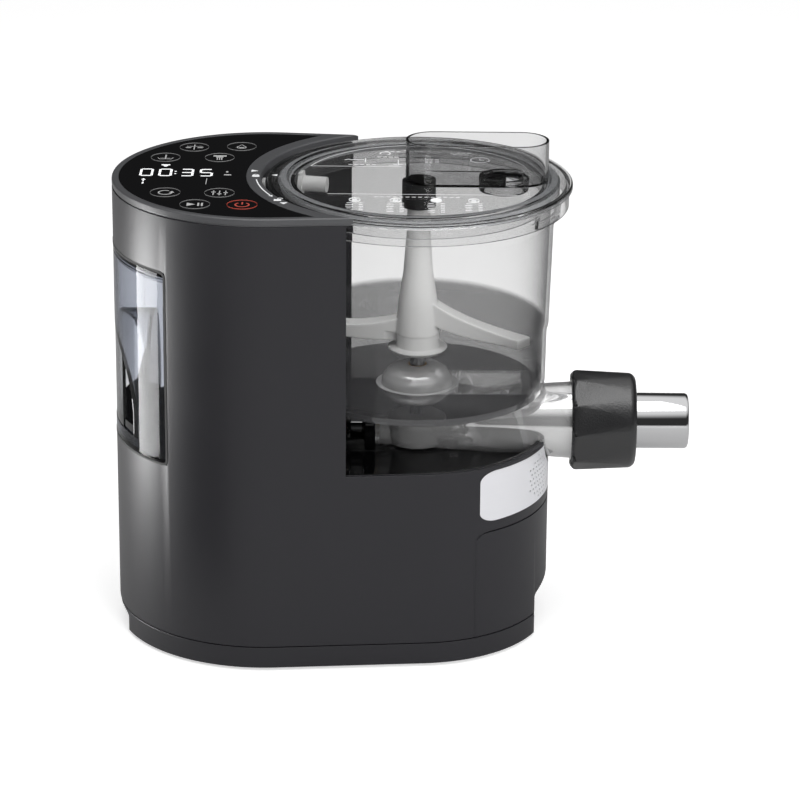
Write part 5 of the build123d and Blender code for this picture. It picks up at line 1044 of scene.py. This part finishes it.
@dataclass
class LidPrint:
    """Prints of the lid: a framed recipe field with small tables, a clock and the lid's pointer."""

    below_top: float = 2.0
    frame_r: float = 77.0
    frame_y: float = 1.5
    upper_y: float = 27.8
    lower_y: float = -35.2
    dial_x: tuple[float, ...] = (-41.7, -15.3, 11.2, 35.5)
    dial_y: float = -48.3
    dial_size: Point2 = (7.4, 0.9)
    dash_size: Point2 = (3.4, 0.75)
    line: float = 0.45
    upper_stop: float = -12.0
    lower_in: Point2 = (8.0, 4.0)
    bar_half: Point2 = (1.6, 1.0)
    fill_gap: float = 0.1
    fill_sides: int = 24
    rows: tuple[int, ...] = (5, 6, 6, 5)
    row_drop: float = 6.6
    row_pitch: float = 3.7
    wide_x: float = -3.4
    narrow_x: float = 4.2
    wide: float = 1.4
    narrow: float = 0.8
    rule_x: float = -28.0
    rule_rise: float = 7.0
    rule_step: float = 4.1
    rule_dashes: int = 14
    rule_dash: float = 0.72
    dash_step: float = 3.9
    pointer: tuple[float, float, float] = (176.6, 96.0, -1.9)

    SIGNS = (*(Stroke(((x, 42.5), (x + 2.4, 44.4), (x + 4.8, 42.5)), 0.8) for x in (-50.0, -45.6, -41.2)),
             Stroke(((-36.0, 47.0), (-36.0, 37.5)), 0.6), sweep((-23.0, 58.6), 3.4, -60.0, 200.0, 0.8),
             Stroke(((-14.0, 44.0), (-14.0, 30.5), (-20.5, 30.5)), 0.5),
             Stroke(((40.8, 49.6), (40.8, 45.8), (43.6, 45.8)), 0.7),
             Stroke(circle((40.8, 45.8), 6.2, 40), 0.6, True))
    UPPER_DASHES = ((-46.0, 32.0, 5), (-27.0, 50.0, 4), (-16.0, 33.0, 3), (-9.0, 66.0, 3), (-22.0, 63.0, 3),
                    (4.0, 46.0, 3), (4.0, 42.5, 3), (4.0, 39.0, 3), (22.0, 62.0, 4), (24.0, 58.0, 3))

    def tables(self, z: float) -> list[Mark]:
        """Gives the places of the dashes under the small circles and in the upper field, at a height."""
        marks = []
        for x, rows in zip(self.dial_x, self.rows):
            for row in range(rows):
                y = self.dial_y - self.row_drop - row * self.row_pitch
                marks.append(Mark((x + BOWL_X + self.wide_x, y, z), 0.0, self.wide if row % 3 else 1.0))
                marks.append(Mark((x + BOWL_X + self.narrow_x, y, z), 0.0, self.narrow))
        marks.extend(Mark((BOWL_X + self.rule_x + self.rule_step * k, self.dial_y + self.rule_rise, z), 0.0,
                          self.rule_dash) for k in range(self.rule_dashes))
        marks.extend(Mark((x + BOWL_X + self.dash_step * k, y, z), 0.0, self.narrow)
                     for x, y, count in self.UPPER_DASHES for k in range(count))
        return marks

    def build(self) -> None:
        """Builds the prints and lets them ride."""
        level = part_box("lid")[1][2] / MM - self.below_top
        draw("LidPointer", level, (triangle(*self.pointer),), "LidInk", "lid_set")
        up, down = self.upper_y - self.frame_y, self.lower_y - self.frame_y
        reach = math.degrees(math.asin(up / self.frame_r))
        upper, lower = (math.sqrt(self.frame_r ** 2 - rise ** 2) for rise in (up, down))
        half_x, half_y = self.bar_half
        drawing = (sweep((0.0, self.frame_y), self.frame_r, reach, 180.0 - reach, self.line),
                   Stroke(((-upper, self.upper_y), (self.upper_stop, self.upper_y)), self.line),
                   Stroke(((self.lower_in[0] - lower, self.lower_y),
                           (lower - self.lower_in[1], self.lower_y)), self.line), *self.SIGNS,
                   *(block(self.dial_x[k] - half_x, self.dial_y - half_y, self.dial_x[k] + half_x,
                           self.dial_y + half_y) for k in (0, 1, 3)),
                   Stroke(circle((self.dial_x[2], self.dial_y), self.dial_size[0] / 2 - self.fill_gap,
                                 self.fill_sides)))
        draw("LidDrawing", level, moved(drawing, (BOWL_X, 0.0)), "LidInk", "lid_set")
        z = level + MARK_LIFT
        rings = [Mark((x + BOWL_X, self.dial_y, z)) for x in self.dial_x]
        lay(Stamp.RING, "LidCircles", rings, self.dial_size, "LidInk", "lid_set", "smoke")
        lay(Stamp.BAR, "LidTables", self.tables(z), self.dash_size, "LidInk", "lid_set", "smoke")


@dataclass
class DialMarks:
    """Prints of the frame round the bowl: lock, open lock and the way to turn the lid."""

    radius: float = 107.8
    closed_deg: float = 176.4
    open_deg: float = 216.6
    size: float = 2.3
    closed_out: float = 1.2
    lock_half: float = 2.4
    lock_low: float = 3.0
    lock_high: float = 0.6
    bow_r: float = 1.6
    bow_line: float = 0.7
    closed_lock: tuple[float, Point2] = (5.6, (0.0, 0.8))
    open_lock: tuple[float, Point2] = (-4.6, (1.6, 1.5))
    arc_gap: float = 10.4
    line: float = 0.8
    tip_half: float = 1.6
    tip_back: float = 9.6
    tip_ahead: float = 2.4
    tip_behind: float = 0.8

    def lock(self, deg: float, bow: Point2) -> tuple[Stroke, Stroke]:
        """Gives a padlock at an angle round the bowl, with its bow shifted and lifted as it opens."""
        x, y = polar((BOWL_X, 0.0), self.radius, deg)
        return (block(x - self.lock_half, y - self.lock_low, x + self.lock_half, y + self.lock_high),
                sweep((x + bow[0], y + bow[1]), self.bow_r, 0.0, 180.0, self.bow_line))

    def build(self) -> None:
        """Builds the prints and lets them ride."""
        tip_deg = self.open_deg - self.tip_back
        tip = Vector(polar((BOWL_X, 0.0), self.radius, tip_deg))
        along = Vector(polar((0.0, 0.0), 1.0, tip_deg + 90.0))
        side = Vector((along.y, -along.x)) * self.tip_half
        back = tip - along * self.tip_behind
        strokes = [triangle(self.closed_deg, self.radius + self.closed_out, self.size)]
        strokes.extend(self.lock(self.closed_deg + self.closed_lock[0], self.closed_lock[1]))
        strokes.append(triangle(self.open_deg, self.radius, self.size))
        strokes.extend(self.lock(self.open_deg + self.open_lock[0], self.open_lock[1]))
        strokes.append(sweep((BOWL_X, 0.0), self.radius, self.closed_deg + self.arc_gap,
                             self.open_deg - self.arc_gap, self.line))
        strokes.append(Stroke([tuple(point) for point in (tip + along * self.tip_ahead, back + side,
                                                          back - side)]))
        draw("DialPrint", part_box("top_frame")[1][2] / MM, strokes, "BandInk", "base")


@dataclass
class Plain:
    """Solids that keep their own mesh and only take a finish."""

    finishes: dict[str, str] = field(default_factory=lambda: {
        "Rubber": "rubber_feet",
        "CircuitBoard": "control_board power_board",
        "ScreenWindow": "display_module",
        "TurnedSteel": "load_cells screws touch_springs motor_can motor_rotor idler_pin output_shaft "
                       "bevel_pinion bevel_gear paddle_spindle",
        "BlackInner": "blower_case blower_wheel outlet_duct drawer_box drawer_rails tank_bay tank_dock "
                      "water_pump gearbox_case mains_inlet",
        "OffWhiteDie": "spare_dies die_plate",
        "Silicone": "water_hoses nozzle_seal",
        "CopperLead": "wiring",
        "WhitePlastic": "water_outlet",
        "NylonGear": "idler_gear output_gear",
        "Bronze": "shaft_bearings bowl_bushes"})

    def build(self) -> None:
        """Gives each solid its finish."""
        for finish, nodes in self.finishes.items():
            for node in nodes.split():
                data = FRAME["nodes"][node].data
                data.materials.clear()
                data.materials.append(paint(finish))


@dataclass
class TankWindow:
    """The clear plate over the tank's hand recess and the black gasket round the tank's window."""

    centre_x: float = -92.4
    radius: float = 100.7
    half_w: float = 79.5
    low: float = 137.6
    high: float = 270.3
    gasket_w: float = 1.7
    proud: float = 0.25
    depth: float = 1.2
    corner: float = 3.0
    corner_steps: int = 4
    long_steps: int = 24
    grip_half: float = 37.0
    grip_t: float = 2.0
    grip_in: float = 0.3
    grip_steps: int = 28
    recess_half: float = 53.0
    recess_mid: float = 162.0
    recess_low: float = 149.0
    gap: float = 0.1

    def build(self) -> None:
        """Builds the pieces and lets them ride."""
        gasket = self.bar("TankGasket", self.gasket_rows(), True, paint("Rubber"))
        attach(gasket, "base")
        grip = self.bar("GripPlate", self.grip_rows(), False, paint("ClearGrip"))
        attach(grip, "tank")

    @staticmethod
    def bar(name: str, rows: Iterable[Sequence[Vector]], closed: bool,
            material: Material) -> Object:
        """Makes a named bar through rows of four corners, in millimetres, as skin joins them."""
        work = bmesh.new()
        skin(work, [[work.verts.new(point * MM) for point in row] for row in rows], closed)
        bmesh.ops.recalc_face_normals(work, faces=work.faces)
        return mesh_object(name, work, material)

    def grip_rows(self) -> list[list[Vector]]:
        """Gives the corners of the plate that spans the hand recess from its foot to its arch."""
        rows = []
        for k in range(self.grip_steps + 1):
            y = self.grip_half * (2 * k / self.grip_steps - 1)
            top = self.recess_mid + math.sqrt(self.recess_half ** 2 - y ** 2) - self.gap
            low = self.recess_low + self.gap
            out = self.radius - self.grip_in
            edge = ((out, low), (out - self.grip_t, low), (out - self.grip_t, top), (out, top))
            rows.append([Vector((self.centre_x - math.sqrt(r ** 2 - y ** 2), y, z)) for r, z in edge])
        return rows

    def outline(self) -> list[Point2]:
        """Gives the window's outline with its round corners, as places across and up."""
        half_w, half_h = self.half_w - self.corner, (self.high - self.low) / 2 - self.corner
        middle = (self.high + self.low) / 2
        return [polar((cx * half_w, middle + cz * half_h), self.corner, first + 90.0 / self.corner_steps * k)
                for cx, cz, first in ((1, 1, 0), (-1, 1, 90), (-1, -1, 180), (1, -1, 270))
                for k in range(self.corner_steps + 1)]

    def gasket_rows(self) -> list[tuple[Vector, ...]]:
        """Gives the corners of the gasket round the window, on the round of the tower."""
        outline = self.outline()
        places, outward = [], []
        for k, (y, z) in enumerate(outline):
            after = outline[(k + 1) % len(outline)]
            steps = self.long_steps if abs(after[0] - y) > self.half_w else 1
            for j in range(steps):
                across, up = y + (after[0] - y) * j / steps, z + (after[1] - z) * j / steps
                out = Vector((-math.sqrt(self.radius ** 2 - across ** 2), across, 0.0))
                outward.append(out / self.radius)
                places.append(Vector((self.centre_x, 0.0, up)) + outward[-1] * self.radius)
        rows = []
        for k, (place, out) in enumerate(zip(places, outward)):
            along = (places[(k + 1) % len(places)] - places[k - 1]).normalized()
            side = along.cross(out).normalized() * self.gasket_w / 2
            top, low = out * self.proud, out * -self.depth
            rows.append((place + side + top, place - side + top, place - side + low, place + side + low))
        return rows


@dataclass
class Paddle:
    """The white paddle, with its neck drawn in above its flange so that the flange stands out as a disc."""

    voxel: float = 0.65
    rounds: int = 3
    neck_r: float = 14.4
    neck_reach: float = 22.0
    neck_h: float = 10.0
    flange_t: float = 4.0

    def build(self) -> None:
        """Builds the paddle and lets it ride."""
        paddle = softened("paddle", "Paddle", paint("WhitePlastic"), self.voxel, self.rounds)
        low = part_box("paddle")[0][2]
        for vertex in paddle.data.vertices:
            x, y, z = vertex.co
            away = math.hypot(x - BOWL_X * MM, y) / MM
            height = (z - low) / MM - self.flange_t
            if 0.0 < height < self.neck_h and self.neck_r < away < self.neck_reach:
                pull = self.neck_r / away
                vertex.co = (BOWL_X * MM + (x - BOWL_X * MM) * pull, y * pull, z)
        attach(paddle, "paddle_set")


def main() -> None:
    """Builds the whole machine and its studio."""
    FRAME.update(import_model())
    Studio().build()
    for part in (SHELL, TouchPanel(), DialMarks(), LidPrint(), Plain(), CLEAR_PARTS, TANK, TankWindow(),
                 DRIVEN, Paddle()):
        part.build()
        LOG.info("built %s", type(part).__name__)


if __name__ == "__main__":
    logging.basicConfig(level=logging.INFO)
    main()
